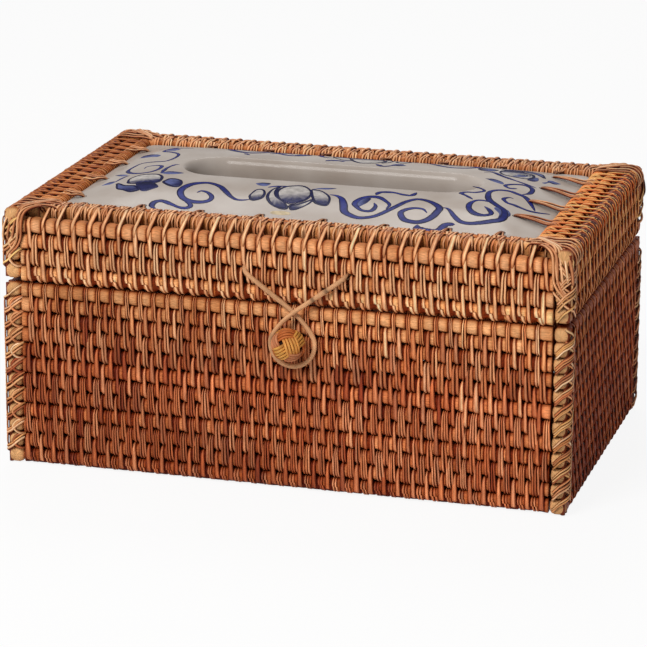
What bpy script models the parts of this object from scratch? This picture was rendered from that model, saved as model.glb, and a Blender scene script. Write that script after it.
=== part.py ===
"""Woven rattan tissue box: its hinged lid holds a ceramic plate with the slot, and a cane loop closes it.

Metres, Z up. The origin is the middle of the underside, X runs along the box and the front faces -Y.
Each wall is a mat of cane rods laid on each other. The mats are laced together at the corners.
"""
import math

import bmesh
import bpy
from mathutils import Vector

# Box over the crests of its rods
BOX_WIDTH = 0.247
BOX_DEPTH = 0.157
BODY_HEIGHT = 0.0823
LID_HEIGHT = 0.0311
SEAM_GAP = 0.0006
CLEARANCE = 0.0003

# Woven walls: a rod with its cane wrapping is one wall thick
WALL = 0.0074
SCALLOP = 0.0021
BODY_COURSES = 12
LID_COURSES = 4
CORNER_RADIUS = 0.0026

# Cane strands across the outer crests of the body's front and back walls, in brick order
FRONT_CANE_PITCH = 0.00605
BACK_CANE_PITCH = 0.0074
RIB_DEPTH = 0.0006
RIB_START = 0.49
RIB_SHIFT = 0.45
RIB_MARGIN = 0.0020

# Bottom mat
BASE_RODS = 21
BASE_FLAT_CUT = 0.0005
BASE_SCALLOP = 0.0014

# Rim of the lid: rods laid side by side inside the lid walls
RIM_ROD = 0.0063
RIM_RODS = 2
RIM_PITCH = 0.0059
RIM_SCALLOP = 0.0010

# Rods under the rim that carry the plate
LEDGE_ROD = 0.0056
LEDGE_DROP = 0.0055

# Ceramic plate
PLATE_THICKNESS = 0.0036
PLATE_RISE = 0.0072
PLATE_EDGE_ROUND = 0.0010
PLATE_SEAT = 0.0040
PLATE_CORNER_POWER = 40.0
SLOT_LENGTH = 0.136
SLOT_WIDTH = 0.036
LIP_RADIUS = 0.0022
COLLAR_DEPTH = 0.0115
COLLAR_WALL = 0.0028

# Corner lacing: a flat cane strand that goes to and fro round each upright corner
LACE_WIDTH = 0.0022
LACE_THICKNESS = 0.0011
LACE_TURN = 0.0014
LACE_FRONT_REACH = 0.0130
LACE_SIDE_REACH = 0.0092
LACE_SEAM_MARGIN = 0.0030
LACE_END_MARGIN = 0.0022

# Hinge ties: cane bands round the lowest lid rod and the top rod of the back wall
TIE_SPACING = 0.070
TIE_WIDTH = 0.0030
TIE_THICKNESS = 0.0012
TIE_CORE_RADIUS = 0.0024

# Knob on the front wall
CLOSURE_X = 0.0060
KNOB_COURSE = 10
KNOB_RADIUS = 0.0073
KNOB_STANDOFF = 0.0015
STEM_RADIUS = 0.0016
STEM_DEPTH = 0.0050
TOGGLE_LENGTH = 0.0150

# Cane loop that hangs from the second course of the lid and drops over the knob
LOOP_CANE = 0.0021
LOOP_COURSE = 2
LOOP_CORE_RADIUS = 0.0014
LOOP_ANCHOR = 0.0220
LOOP_RING_RADIUS = 0.0096
LOOP_RING_DROP = 0.0014
LOOP_CROSSING_RISE = 0.0142
LOOP_CROSSING_GAP = 0.0005
LOOP_STEP = 0.0017
LOOP_EASE_OUT_SHARE = 0.45
LOOP_EASE_DOWN_SHARE = 0.65
LOOP_LEAN_SHARE = 0.15
LOOP_UPRIGHT_SHARE = 1.5

# Sizes that follow from those above
ROD = WALL / 2
BODY_PITCH = (BODY_HEIGHT - WALL) / (BODY_COURSES - 1)
LID_PITCH = (LID_HEIGHT - WALL) / (LID_COURSES - 1)
LID_FLOOR = BODY_HEIGHT + SEAM_GAP
LID_TOP = LID_FLOOR + LID_HEIGHT
HALF_WIDTH = BOX_WIDTH / 2
HALF_DEPTH = BOX_DEPTH / 2
INNER_HALF_WIDTH = HALF_WIDTH - WALL - CLEARANCE
INNER_HALF_DEPTH = HALF_DEPTH - WALL - CLEARANCE
HINGE_Y = HALF_DEPTH - ROD
HINGE_Z = LID_FLOOR + ROD
LOOP_AXIS_Y = ROD - HALF_DEPTH
LOOP_AXIS_Z = LID_FLOOR + ROD + (LOOP_COURSE - 1) * LID_PITCH
RIM_RADIUS = RIM_ROD / 2
RIM_WIDTH = RIM_ROD + (RIM_RODS - 1) * RIM_PITCH
RIM_Z = LID_TOP - RIM_RADIUS
LEDGE_RADIUS = LEDGE_ROD / 2
LEDGE_INSET = math.sqrt((RIM_RADIUS + LEDGE_RADIUS + CLEARANCE) ** 2 - LEDGE_DROP ** 2) - RIM_RADIUS
LEDGE_HALF_WIDTH = INNER_HALF_WIDTH - RIM_WIDTH - LEDGE_INSET
LEDGE_HALF_DEPTH = INNER_HALF_DEPTH - RIM_WIDTH - LEDGE_INSET
LEDGE_Z = RIM_Z - LEDGE_DROP
PLATE_HALF_WIDTH = INNER_HALF_WIDTH - RIM_WIDTH - CLEARANCE
PLATE_HALF_DEPTH = INNER_HALF_DEPTH - RIM_WIDTH - CLEARANCE
PLATE_UNDERSIDE = LEDGE_Z + LEDGE_RADIUS + CLEARANCE
PLATE_EDGE_TOP = PLATE_UNDERSIDE + PLATE_THICKNESS
SLOT_HALF_WIDTH = SLOT_WIDTH / 2
SLOT_SPINE = SLOT_LENGTH / 2 - SLOT_HALF_WIDTH
TIE_INNER = TIE_CORE_RADIUS + CLEARANCE
TIE_OUTER = TIE_INNER + TIE_THICKNESS
TIE_SPAN = WALL + SEAM_GAP
TIE_SWING_RADIUS = math.hypot(TIE_OUTER, ROD) + 2 * CLEARANCE
KNOB_Z = ROD + (KNOB_COURSE - 1) * BODY_PITCH
KNOB_Y = -HALF_DEPTH - KNOB_STANDOFF - KNOB_RADIUS
CANE_RADIUS = LOOP_CANE / 2
LOOP_HOOK_RADIUS = LOOP_CORE_RADIUS + CLEARANCE + CANE_RADIUS

# Steps that round stretches are drawn in
QUARTER_TURN = math.pi / 2
HALF_TURN = math.pi
SCALLOP_STEPS = 4
CAP_STEPS = 3
DOME_DEGREES = (90.0, 45.0, 0.0)
BAND_STEPS = 8
ROD_SIDES = 10
CAP_SEGMENTS = 4
SPINE_SEGMENTS = 5
KNOB_SEGMENTS = 20
KNOB_RINGS = 12
PLATE_FACE_SHARES = (0.22, 0.46, 0.70, 0.88, 1.0)
PLATE_BACK_SHARES = (0.70, 0.35)
LIP_DEGREES = (35.0, 65.0, 90.0)
HOOK_DEGREES = (265.0, 225.0, 180.0, 135.0, 90.0, 45.0, 5.0)
RING_DEGREES = (50.0, 85.0, 120.0, 150.0, 180.0, 210.0, 240.0, 275.0, 310.0)
CANE_BEVEL_STEPS = 1
SMOOTH_DEGREES = 35.0
SQUARE_ON = 0.001

RATTAN_LIGHT = (0.56, 0.31, 0.13, 1.0)
RATTAN_DARK = (0.38, 0.16, 0.06, 1.0)
CANE_PALE = (0.62, 0.38, 0.17, 1.0)
GLAZE = (0.66, 0.63, 0.60, 1.0)
MATT = 0.6
SATIN = 0.45
GLOSSY = 0.12


def clear_scene():
    """An empty scene to build in."""
    for item in list(bpy.data.objects):
        bpy.data.objects.remove(item, do_unlink=True)


def finish_material(name, colour, roughness):
    """A Principled finish of one colour."""
    material = bpy.data.materials.new(name)
    material.use_nodes = True
    shader = material.node_tree.nodes["Principled BSDF"]
    shader.inputs["Base Color"].default_value = colour
    shader.inputs["Roughness"].default_value = roughness
    shader.inputs["Metallic"].default_value = 0.0
    return material


def add_object(name, data, colour, roughness, parent=None, location=(0.0, 0.0, 0.0)):
    """An object in the scene at a world place, with a finish of its own, moving with its parent."""
    item = bpy.data.objects.new(name, data)
    bpy.context.scene.collection.objects.link(item)
    data.materials.append(finish_material(name + "_finish", colour, roughness))
    item.parent = parent
    carried_from = parent["world_place"] if parent else (0.0, 0.0, 0.0)
    item.location = Vector(location) - Vector(carried_from)
    return item


def add_pivot(name, place, parent=None):
    """An empty on a joint's axis, which carries what turns there."""
    pivot = bpy.data.objects.new(name, None)
    bpy.context.scene.collection.objects.link(pivot)
    pivot["world_place"] = place
    pivot.parent = parent
    carried_from = parent["world_place"] if parent else (0.0, 0.0, 0.0)
    pivot.location = Vector(place) - Vector(carried_from)
    return pivot


def loft(name, rings, closed=False):
    """One closed body through rings of points: flat ends, or joined end to end when closed."""
    mesh = bpy.data.meshes.new(name)
    body = bmesh.new()
    rows = [[body.verts.new(point) for point in ring] for ring in rings]
    count = len(rings[0])
    pairs = list(zip(rows, rows[1:]))
    if closed:
        pairs.append((rows[-1], rows[0]))
    for low, high in pairs:
        for index in range(count):
            after = (index + 1) % count
            body.faces.new((low[index], low[after], high[after], high[index]))
    if not closed:
        body.faces.new(rows[0])
        body.faces.new(rows[-1])
    bmesh.ops.recalc_face_normals(body, faces=body.faces)
    body.to_mesh(mesh)
    body.free()
    mesh.shade_smooth()
    mesh.set_sharp_from_angle(angle=math.radians(SMOOTH_DEGREES))
    return mesh


def cut(target, cutter_mesh, location):
    """A cut in the target at a world place, left as a live Boolean."""
    cutter = bpy.data.objects.new(target.name + "_cutter", cutter_mesh)
    bpy.context.scene.collection.objects.link(cutter)
    cutter.location = location
    cutter.hide_render = True
    cutter.display_type = "WIRE"
    modifier = target.modifiers.new("cut", "BOOLEAN")
    modifier.operation = "DIFFERENCE"
    modifier.object = cutter
    return cutter


def turned(radius, start, end, sides, axis):
    """Two rings of a round bar along an axis, from start to end."""
    rings = []
    for along in (start, end):
        ring = []
        for side in range(sides):
            angle = math.tau * side / sides
            first = radius * math.cos(angle)
            second = radius * math.sin(angle)
            ring.append((along, first, second) if axis == "X" else (first, along, second))
        rings.append(ring)
    return rings


def mat_half_outline(courses, pitch):
    """One face of a wall mat from its underside up: the height it shrinks to, the reach out and the rise."""
    points = []
    for step in range(CAP_STEPS):
        angle = QUARTER_TURN * step / CAP_STEPS
        points.append((ROD, ROD * math.sin(angle), -ROD * math.cos(angle)))
    for course in range(courses):
        centre = ROD + course * pitch
        for step in range(-SCALLOP_STEPS // 2 + 1, SCALLOP_STEPS // 2 + 1):
            share = 2 * step / SCALLOP_STEPS
            below_first = course == 0 and step < 0
            above_last = course == courses - 1 and step > 0
            if below_first or above_last:
                continue
            reach = ROD - SCALLOP * (1 - math.cos(QUARTER_TURN * share))
            if step == SCALLOP_STEPS // 2:
                points.append((centre + pitch / 2, reach, 0.0))
            else:
                points.append((centre, reach, share * pitch / 2))
    top = ROD + (courses - 1) * pitch
    for step in range(1, CAP_STEPS + 1):
        angle = QUARTER_TURN * step / CAP_STEPS
        points.append((top, ROD * math.cos(angle), ROD * math.sin(angle)))
    return points


def mat_outline(courses, pitch, share):
    """Closed section of a wall mat as reach and height, each rod drawn in to a share of its size."""
    half = mat_half_outline(courses, pitch)
    face = [(reach * share, centre + rise * share) for centre, reach, rise in half]
    back = [(-reach, height) for reach, height in reversed(face[1:-1])]
    return face + back


def crest_ribs(course, half_length, pitch):
    """Places along a rod's outer crest, each with the depth below the cane strands that cross it."""
    first = (RIB_START + course * RIB_SHIFT) % 1.0 * pitch - half_length
    places = [(-half_length, 0.0)]
    index = 0
    while first + index * pitch / 2 < half_length - RIB_MARGIN:
        along = first + index * pitch / 2
        if along > RIB_MARGIN - half_length:
            places.append((along, RIB_DEPTH * (index % 2)))
        index += 1
    places.append((half_length, 0.0))
    return places


def zip_rows(body, low, high):
    """Triangles between two rows of vertices that run the same way, with unlike numbers of them."""
    first, second = 0, 0
    while first < len(low) - 1 or second < len(high) - 1:
        ahead_low = low[first + 1].co.x if first < len(low) - 1 else math.inf
        ahead_high = high[second + 1].co.x if second < len(high) - 1 else math.inf
        if ahead_low <= ahead_high:
            body.faces.new((low[first], low[first + 1], high[second]))
            first += 1
        else:
            body.faces.new((low[first], high[second + 1], high[second]))
            second += 1


def cross_mat(name, courses, pitch, half_length, outer=0, cane_pitch=None, ribbed=0):
    """A front or back wall mat: rods along X, cut square, with ribs of cane across its outer crests."""
    mesh = bpy.data.meshes.new(name)
    body = bmesh.new()
    rows = []
    for reach, height in mat_outline(courses, pitch, 1.0):
        course = round((height - ROD) / pitch)
        places = [(-half_length, 0.0), (half_length, 0.0)]
        if reach * outer > ROD - CLEARANCE and course < ribbed:
            places = crest_ribs(courses - 1 - course, half_length, cane_pitch)
        rows.append([body.verts.new((along, reach - outer * depth, height)) for along, depth in places])
    for low, high in zip(rows, rows[1:] + rows[:1]):
        zip_rows(body, low, high)
    for end in (0, -1):
        body.faces.new([row[end] for row in rows])
    bmesh.ops.recalc_face_normals(body, faces=body.faces)
    body.to_mesh(mesh)
    body.free()
    mesh.shade_smooth()
    mesh.set_sharp_from_angle(angle=math.radians(SMOOTH_DEGREES))
    return mesh


def side_mat(name, courses, pitch):
    """A side wall mat: rods along Y, each with a domed end that shows at the front and back."""
    stations = []
    for degrees in DOME_DEGREES:
        angle = math.radians(degrees)
        along = HALF_DEPTH - CORNER_RADIUS * (1 - math.sin(angle))
        share = 1 - CORNER_RADIUS * (1 - math.cos(angle)) / ROD
        stations.append((along, share))
    stations = [(-along, share) for along, share in stations] + stations[::-1]
    rings = []
    for along, share in stations:
        rings.append([(reach, along, height) for reach, height in mat_outline(courses, pitch, share)])
    return loft(name, rings)


def base_mat(name):
    """The bottom mat: rods along X, scalloped above and cut flat below."""
    pitch = 2 * INNER_HALF_DEPTH / BASE_RODS
    radius = pitch / 2
    flat = math.sqrt(radius ** 2 - (radius - BASE_FLAT_CUT) ** 2)
    top = 2 * radius - BASE_FLAT_CUT
    valley = BASE_SCALLOP
    outline = []
    for rod in range(BASE_RODS):
        middle = (rod - (BASE_RODS - 1) / 2) * pitch
        outline.append((middle - radius, valley))
        outline.append((middle - flat, 0.0))
        outline.append((middle + flat, 0.0))
    outline.append((INNER_HALF_DEPTH, valley))
    for rod in reversed(range(BASE_RODS)):
        middle = (rod - (BASE_RODS - 1) / 2) * pitch
        outline.append((middle + radius, top - valley))
        outline.append((middle + radius / 2, top - valley * (1 - math.cos(math.radians(45.0)))))
        outline.append((middle, top))
        outline.append((middle - radius / 2, top - valley * (1 - math.cos(math.radians(45.0)))))
    outline.append((-INNER_HALF_DEPTH, top - valley))
    ends = (-INNER_HALF_WIDTH, INNER_HALF_WIDTH)
    rings = [[(along, across, up) for across, up in outline] for along in ends]
    return loft(name, rings)


def rim_outline():
    """Section of the lid rim: how far in from the lid wall, and how high over the rods' middle."""
    points = []
    for step in range(CAP_STEPS + 1):
        angle = QUARTER_TURN * step / CAP_STEPS
        points.append((RIM_RADIUS - RIM_RADIUS * math.cos(angle), RIM_RADIUS * math.sin(angle)))
    slope = RIM_RADIUS - RIM_SCALLOP * (1 - math.cos(math.radians(45.0)))
    for rod in range(1, RIM_RODS):
        valley = RIM_RADIUS + (rod - 1 / 2) * RIM_PITCH
        points.append((valley - RIM_PITCH / 4, slope))
        points.append((valley, RIM_RADIUS - RIM_SCALLOP))
        points.append((valley + RIM_PITCH / 4, slope))
        points.append((valley + RIM_PITCH / 2, RIM_RADIUS))
    for step in range(1, CAP_STEPS + 1):
        angle = QUARTER_TURN * step / CAP_STEPS
        points.append((RIM_WIDTH - RIM_RADIUS + RIM_RADIUS * math.sin(angle), RIM_RADIUS * math.cos(angle)))
    under = [(inward, -up) for inward, up in reversed(points[1:-1])]
    return points + under


def rim_bar(name, reach_along, reach_across, along_x, side):
    """One side of the rim, mitred at both ends."""
    rings = []
    for end in (-1, 1):
        ring = []
        for inward, up in rim_outline():
            along = end * (reach_along - inward - CLEARANCE)
            across = side * (reach_across - inward)
            ring.append((along, across, up) if along_x else (across, along, up))
        rings.append(ring)
    return loft(name, rings)


def lace_plan(distance, lift):
    """A point over the corner, as how far out in X and Y, at a distance along the wrap from its face end."""
    face_run = LACE_FRONT_REACH - CORNER_RADIUS
    arc_run = QUARTER_TURN * CORNER_RADIUS
    centre_x = HALF_WIDTH - CORNER_RADIUS
    centre_y = HALF_DEPTH - CORNER_RADIUS
    if distance <= face_run:
        return centre_x - face_run + distance, HALF_DEPTH + lift
    if distance >= face_run + arc_run:
        return HALF_WIDTH + lift, centre_y - (distance - face_run - arc_run)
    angle = QUARTER_TURN * (distance - face_run) / arc_run
    radius = CORNER_RADIUS + lift
    return centre_x + radius * math.sin(angle), centre_y + radius * math.cos(angle)


def rounded_corner(before, corner, after):
    """Three points that take a turn of the lacing round, at the named radius."""
    into = (before - corner).normalized()
    out = (after - corner).normalized()
    half = into.angle(out) / 2
    tangent = LACE_TURN / math.tan(half)
    middle = corner + (into + out).normalized() * LACE_TURN * (1 / math.sin(half) - 1)
    return [corner + into * tangent, middle, corner + out * tangent]


def lace_route(low, high, passes):
    """The flat zigzag of a lacing strand, as distance round the corner and height."""
    arc_run = QUARTER_TURN * CORNER_RADIUS
    arc_start = LACE_FRONT_REACH - CORNER_RADIUS
    length = LACE_FRONT_REACH - 2 * CORNER_RADIUS + arc_run + LACE_SIDE_REACH
    turns = []
    for index in range(passes + 1):
        height = low + (high - low) * index / passes
        turns.append(Vector((0.0 if index % 2 == 0 else length, height)))
    route = [turns[0]]
    for index in range(passes):
        start, end = turns[index], turns[index + 1]
        bends = (arc_start, arc_start + arc_run / 2, arc_start + arc_run)
        shares = [bend / length for bend in bends]
        if index % 2:
            shares = [1 - share for share in reversed(shares)]
        route.extend(start.lerp(end, share) for share in shares)
        if index < passes - 1:
            route.extend(rounded_corner(start, end, turns[index + 2]))
    route.append(turns[-1])
    return route


def lacing(name, low, high, passes, side_x, side_y):
    """A flat strand laid to and fro round one upright corner."""
    route = lace_route(low, high, passes)
    rings = []
    for index, point in enumerate(route):
        ahead = route[min(index + 1, len(route) - 1)]
        behind = route[max(index - 1, 0)]
        run = ((ahead - point).normalized() + (point - behind).normalized()).normalized()
        across = Vector((-run.y, run.x)) * LACE_WIDTH / 2
        ring = []
        for edge, lift in ((1, 0.0), (-1, 0.0), (-1, LACE_THICKNESS), (1, LACE_THICKNESS)):
            spot = point + edge * across
            x, y = lace_plan(spot.x, CLEARANCE + lift)
            ring.append((side_x * x, side_y * y, spot.y))
        rings.append(ring)
    return loft(name, rings)


def band_outline(radius, span):
    """An upright oval round two rods, one above the other, as Y and Z from the upper one."""
    points = []
    for step in range(BAND_STEPS + 1):
        angle = HALF_TURN * step / BAND_STEPS
        points.append((radius * math.cos(angle), radius * math.sin(angle)))
    for step in range(BAND_STEPS + 1):
        angle = HALF_TURN * (1 + step / BAND_STEPS)
        points.append((radius * math.cos(angle), radius * math.sin(angle) - span))
    return points


def band(name, inner, outer, span, width):
    """A flat band that follows the oval, closed on itself."""
    inside = band_outline(inner, span)
    outside = band_outline(outer, span)
    half = width / 2
    rings = []
    for near, far in zip(inside, outside):
        rings.append([(-half, *near), (half, *near), (half, *far), (-half, *far)])
    return loft(name, rings, closed=True)


def groove_ring(name, inner, outer, width):
    """A round groove about the X axis."""
    rings = []
    half = width / 2
    steps = 2 * BAND_STEPS
    for step in range(steps):
        angle = math.tau * step / steps
        y, z = math.cos(angle), math.sin(angle)
        rings.append([(along, radius * y, radius * z)
                      for along, radius in ((-half, inner), (half, inner), (half, outer), (-half, outer))])
    return loft(name, rings, closed=True)


def plate_spokes():
    """Spokes from the slot's middle line: where each starts, and its direction."""
    corner = math.atan2(PLATE_HALF_DEPTH, PLATE_HALF_WIDTH - SLOT_SPINE)
    quarter = [corner * step / CAP_SEGMENTS for step in range(CAP_SEGMENTS)]
    quarter += [corner + (QUARTER_TURN - corner) * step / CAP_SEGMENTS for step in range(CAP_SEGMENTS)]
    spokes = [(SLOT_SPINE, angle) for angle in quarter]
    for step in range(SPINE_SEGMENTS):
        spokes.append((SLOT_SPINE * (1 - 2 * step / SPINE_SEGMENTS), QUARTER_TURN))
    spokes.append((-SLOT_SPINE, QUARTER_TURN))
    spokes += [(-SLOT_SPINE, HALF_TURN - angle) for angle in reversed(quarter[1:])]
    spokes += [(-SLOT_SPINE, HALF_TURN + angle) for angle in quarter]
    for step in range(SPINE_SEGMENTS):
        spokes.append((-SLOT_SPINE * (1 - 2 * step / SPINE_SEGMENTS), 3 * QUARTER_TURN))
    spokes.append((SLOT_SPINE, 3 * QUARTER_TURN))
    spokes += [(SLOT_SPINE, math.tau - angle) for angle in reversed(quarter[1:])]
    return spokes


def border_point(start, angle):
    """Where a spoke meets the plate's outline, whose corners are rounded by a power curve."""
    run_x, run_y = math.cos(angle), math.sin(angle)
    run = math.inf
    if abs(run_x) > SQUARE_ON:
        run = (math.copysign(PLATE_HALF_WIDTH, run_x) - start) / run_x
    if abs(run_y) > SQUARE_ON:
        run = min(run, PLATE_HALF_DEPTH / abs(run_y))
    x, y = start + run * run_x, run * run_y
    power = PLATE_CORNER_POWER
    size = (abs(x / PLATE_HALF_WIDTH) ** power + abs(y / PLATE_HALF_DEPTH) ** power) ** (1 / power)
    return Vector((x / size, y / size))


def plate_ring(toward_slot, inset, height):
    """A ring of the plate: a share of the way from the border to the lip, then inset into the slot."""
    ring = []
    for start, angle in plate_spokes():
        reach = SLOT_HALF_WIDTH - inset
        lip = Vector((start + reach * math.cos(angle), reach * math.sin(angle)))
        spot = border_point(start, angle).lerp(lip, toward_slot)
        ring.append((spot.x, spot.y, height))
    return ring


def crown(toward_slot):
    """Height of the glazed face, which climbs from the border to the slot's lip."""
    return PLATE_EDGE_TOP + PLATE_RISE * math.sin(QUARTER_TURN * toward_slot)


def ceramic_plate(name):
    """The plate: a crowned face, a rolled lip, a collar down into the slot and a flat seat at its border."""
    narrowest = PLATE_HALF_DEPTH - SLOT_HALF_WIDTH
    edge_share = PLATE_EDGE_ROUND / narrowest
    seat_share = PLATE_SEAT / narrowest
    collar_foot = crown(1.0) - COLLAR_DEPTH
    rings = [plate_ring(0.0, 0.0, PLATE_UNDERSIDE)]
    rings.append(plate_ring(0.0, 0.0, PLATE_EDGE_TOP - PLATE_EDGE_ROUND))
    rings.append(plate_ring(edge_share, 0.0, crown(edge_share)))
    for share in PLATE_FACE_SHARES:
        rings.append(plate_ring(share, 0.0, crown(share)))
    for degrees in LIP_DEGREES:
        angle = math.radians(degrees)
        inset = LIP_RADIUS * math.sin(angle)
        rings.append(plate_ring(1.0, inset, crown(1.0) - LIP_RADIUS * (1 - math.cos(angle))))
    rings.append(plate_ring(1.0, LIP_RADIUS, collar_foot))
    rings.append(plate_ring(1.0, LIP_RADIUS - COLLAR_WALL, collar_foot))
    rings.append(plate_ring(1.0, LIP_RADIUS - COLLAR_WALL, crown(1.0) - PLATE_THICKNESS))
    for share in PLATE_BACK_SHARES:
        rings.append(plate_ring(share, 0.0, crown(share) - PLATE_THICKNESS))
    rings.append(plate_ring(seat_share, 0.0, PLATE_UNDERSIDE))
    return loft(name, rings, closed=True)


def knob_ball(name):
    """The ball of the knob, whose back takes the stem."""
    mesh = bpy.data.meshes.new(name)
    body = bmesh.new()
    bmesh.ops.create_uvsphere(body, u_segments=KNOB_SEGMENTS, v_segments=KNOB_RINGS, radius=KNOB_RADIUS)
    body.to_mesh(mesh)
    body.free()
    mesh.shade_smooth()
    return mesh


def smooth_route(points, step):
    """Points about a step apart on a smooth curve through the given ones."""
    padded = [2 * points[0] - points[1]] + points + [2 * points[-1] - points[-2]]
    route = []
    for first, second, third, fourth in zip(padded, padded[1:], padded[2:], padded[3:]):
        pieces = max(1, round((third - second).length / step))
        for piece in range(pieces):
            t = piece / pieces
            bend = (2 * first - 5 * second + 4 * third - fourth) * t * t
            twist = (3 * second - 3 * third + fourth - first) * t ** 3
            route.append((2 * second + (third - first) * t + bend + twist) / 2)
    route.append(points[-1])
    return route


def loop_leg(side):
    """From the hook's end inside the wall, round the lid rod and out at the front, from the pivot."""
    out = ROD + CLEARANCE + CANE_RADIUS
    points = []
    for degrees in HOOK_DEGREES:
        angle = math.radians(degrees)
        points.append(Vector((side * LOOP_ANCHOR, -LOOP_HOOK_RADIUS * math.cos(angle),
                              LOOP_HOOK_RADIUS * math.sin(angle))))
    drop = out - LOOP_HOOK_RADIUS
    eased_out = LOOP_HOOK_RADIUS + drop * LOOP_EASE_OUT_SHARE
    points.append(Vector((side * LOOP_ANCHOR, -eased_out, -drop * LOOP_EASE_DOWN_SHARE)))
    points.append(Vector((side * (LOOP_ANCHOR - drop * LOOP_LEAN_SHARE), -out, -drop * LOOP_UPRIGHT_SHARE)))
    return points


def loop_route():
    """The whole loop: a hook, the leg under the crossing, the ring, the leg over it and the other hook."""
    out = ROD + CLEARANCE + CANE_RADIUS
    over = out + LOOP_CANE + LOOP_CROSSING_GAP
    ring_z = KNOB_Z - LOOP_RING_DROP - LOOP_AXIS_Z
    crossing_z = KNOB_Z + LOOP_CROSSING_RISE - LOOP_AXIS_Z
    left, right = loop_leg(-1), loop_leg(1)
    start, end = left[-1], right[-1]
    route = list(left)
    route.append(Vector((start.x / 2, -out, (start.z + crossing_z) / 2)))
    route.append(Vector((0.0, -out, crossing_z)))
    for degrees in RING_DEGREES:
        angle = math.radians(degrees)
        away = out + (over - out) * angle / math.tau
        across, up = LOOP_RING_RADIUS * math.sin(angle), LOOP_RING_RADIUS * math.cos(angle)
        route.append(Vector((across, -away, ring_z + up)))
    route.append(Vector((0.0, -over, crossing_z)))
    route.append(Vector((end.x / 2, -(out + over) / 2, (end.z + crossing_z) / 2)))
    route.extend(reversed(right))
    return smooth_route(route, LOOP_STEP)


def cane_curve(name, route, radius):
    """A round cane along a route, with flat ends."""
    curve = bpy.data.curves.new(name, "CURVE")
    curve.dimensions = "3D"
    spline = curve.splines.new("POLY")
    spline.points.add(len(route) - 1)
    for point, place in zip(spline.points, route):
        point.co = (*place, 1.0)
    spline.use_smooth = True
    curve.bevel_depth = radius
    curve.bevel_resolution = CANE_BEVEL_STEPS
    curve.use_fill_caps = True
    return curve


def build_body():
    """Bottom mat, four wall mats and the corner lacing of the box."""
    add_object("box_base_panel", base_mat("box_base_panel"), RATTAN_DARK, MATT)
    size = (BODY_COURSES, BODY_PITCH, INNER_HALF_WIDTH)
    front = cross_mat("box_front_panel", *size, -1, FRONT_CANE_PITCH, BODY_COURSES)
    front = add_object("box_front_panel", front, RATTAN_LIGHT, MATT, location=(0.0, ROD - HALF_DEPTH, 0.0))
    stem_hole = loft("stem_hole", turned(STEM_RADIUS + CLEARANCE, -WALL, WALL, ROD_SIDES, "Y"))
    cut(front, stem_hole, (CLOSURE_X, ROD - HALF_DEPTH, KNOB_Z))
    back = cross_mat("box_back_panel", *size, 1, BACK_CANE_PITCH, BODY_COURSES - 1)
    back = add_object("box_back_panel", back, RATTAN_LIGHT, MATT, location=(0.0, HALF_DEPTH - ROD, 0.0))
    for index in (-1, 0, 1):
        room = TIE_OUTER + CLEARANCE
        space = band("tie_space", TIE_CORE_RADIUS, room, TIE_SPAN, TIE_WIDTH + 2 * CLEARANCE)
        cut(back, space, (index * TIE_SPACING, HINGE_Y, HINGE_Z))
    for name, side in (("box_left_panel", -1), ("box_right_panel", 1)):
        mesh = side_mat(name, BODY_COURSES, BODY_PITCH)
        add_object(name, mesh, RATTAN_LIGHT, MATT, location=(side * (HALF_WIDTH - ROD), 0.0, 0.0))
    high = BODY_HEIGHT - LACE_SEAM_MARGIN
    for face, side_y in (("front", -1), ("back", 1)):
        for end, side_x in (("left", -1), ("right", 1)):
            name = "box_lacing_" + face + "_" + end
            mesh = lacing(name, LACE_END_MARGIN, high, BODY_COURSES - 1, side_x, side_y)
            add_object(name, mesh, CANE_PALE, SATIN)


def build_hinge_ties():
    """Three cane bands on the back wall, which the lowest lid rod turns in."""
    for name, index in (("hinge_tie_left", -1), ("hinge_tie_middle", 0), ("hinge_tie_right", 1)):
        mesh = band(name, TIE_INNER, TIE_OUTER, TIE_SPAN, TIE_WIDTH)
        add_object(name, mesh, CANE_PALE, SATIN, location=(index * TIE_SPACING, HINGE_Y, HINGE_Z))


def build_knob():
    """The knob: a ball on a stem that a cross bar holds behind the front wall."""
    place = (CLOSURE_X, KNOB_Y, KNOB_Z)
    ball = add_object("knob_ball", knob_ball("knob_ball"), RATTAN_LIGHT, SATIN, location=place)
    socket_depth = KNOB_RADIUS - STEM_DEPTH
    socket_rings = turned(STEM_RADIUS + CLEARANCE, socket_depth, 2 * KNOB_RADIUS, ROD_SIDES, "Y")
    cut(ball, loft("stem_socket", socket_rings), place)
    toggle_y = WALL - HALF_DEPTH + CLEARANCE + STEM_RADIUS
    stem_end = toggle_y - KNOB_Y
    stem = loft("knob_stem", turned(STEM_RADIUS, socket_depth + CLEARANCE, stem_end, ROD_SIDES, "Y"))
    stem = add_object("knob_stem", stem, CANE_PALE, SATIN, location=place)
    bar = loft("toggle_bar", turned(STEM_RADIUS, -TOGGLE_LENGTH / 2, TOGGLE_LENGTH / 2, ROD_SIDES, "X"))
    joined = cut(stem, bar, (CLOSURE_X, toggle_y, KNOB_Z))
    joined.name = "toggle_bar_cutter"
    stem.modifiers["cut"].operation = "UNION"


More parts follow.
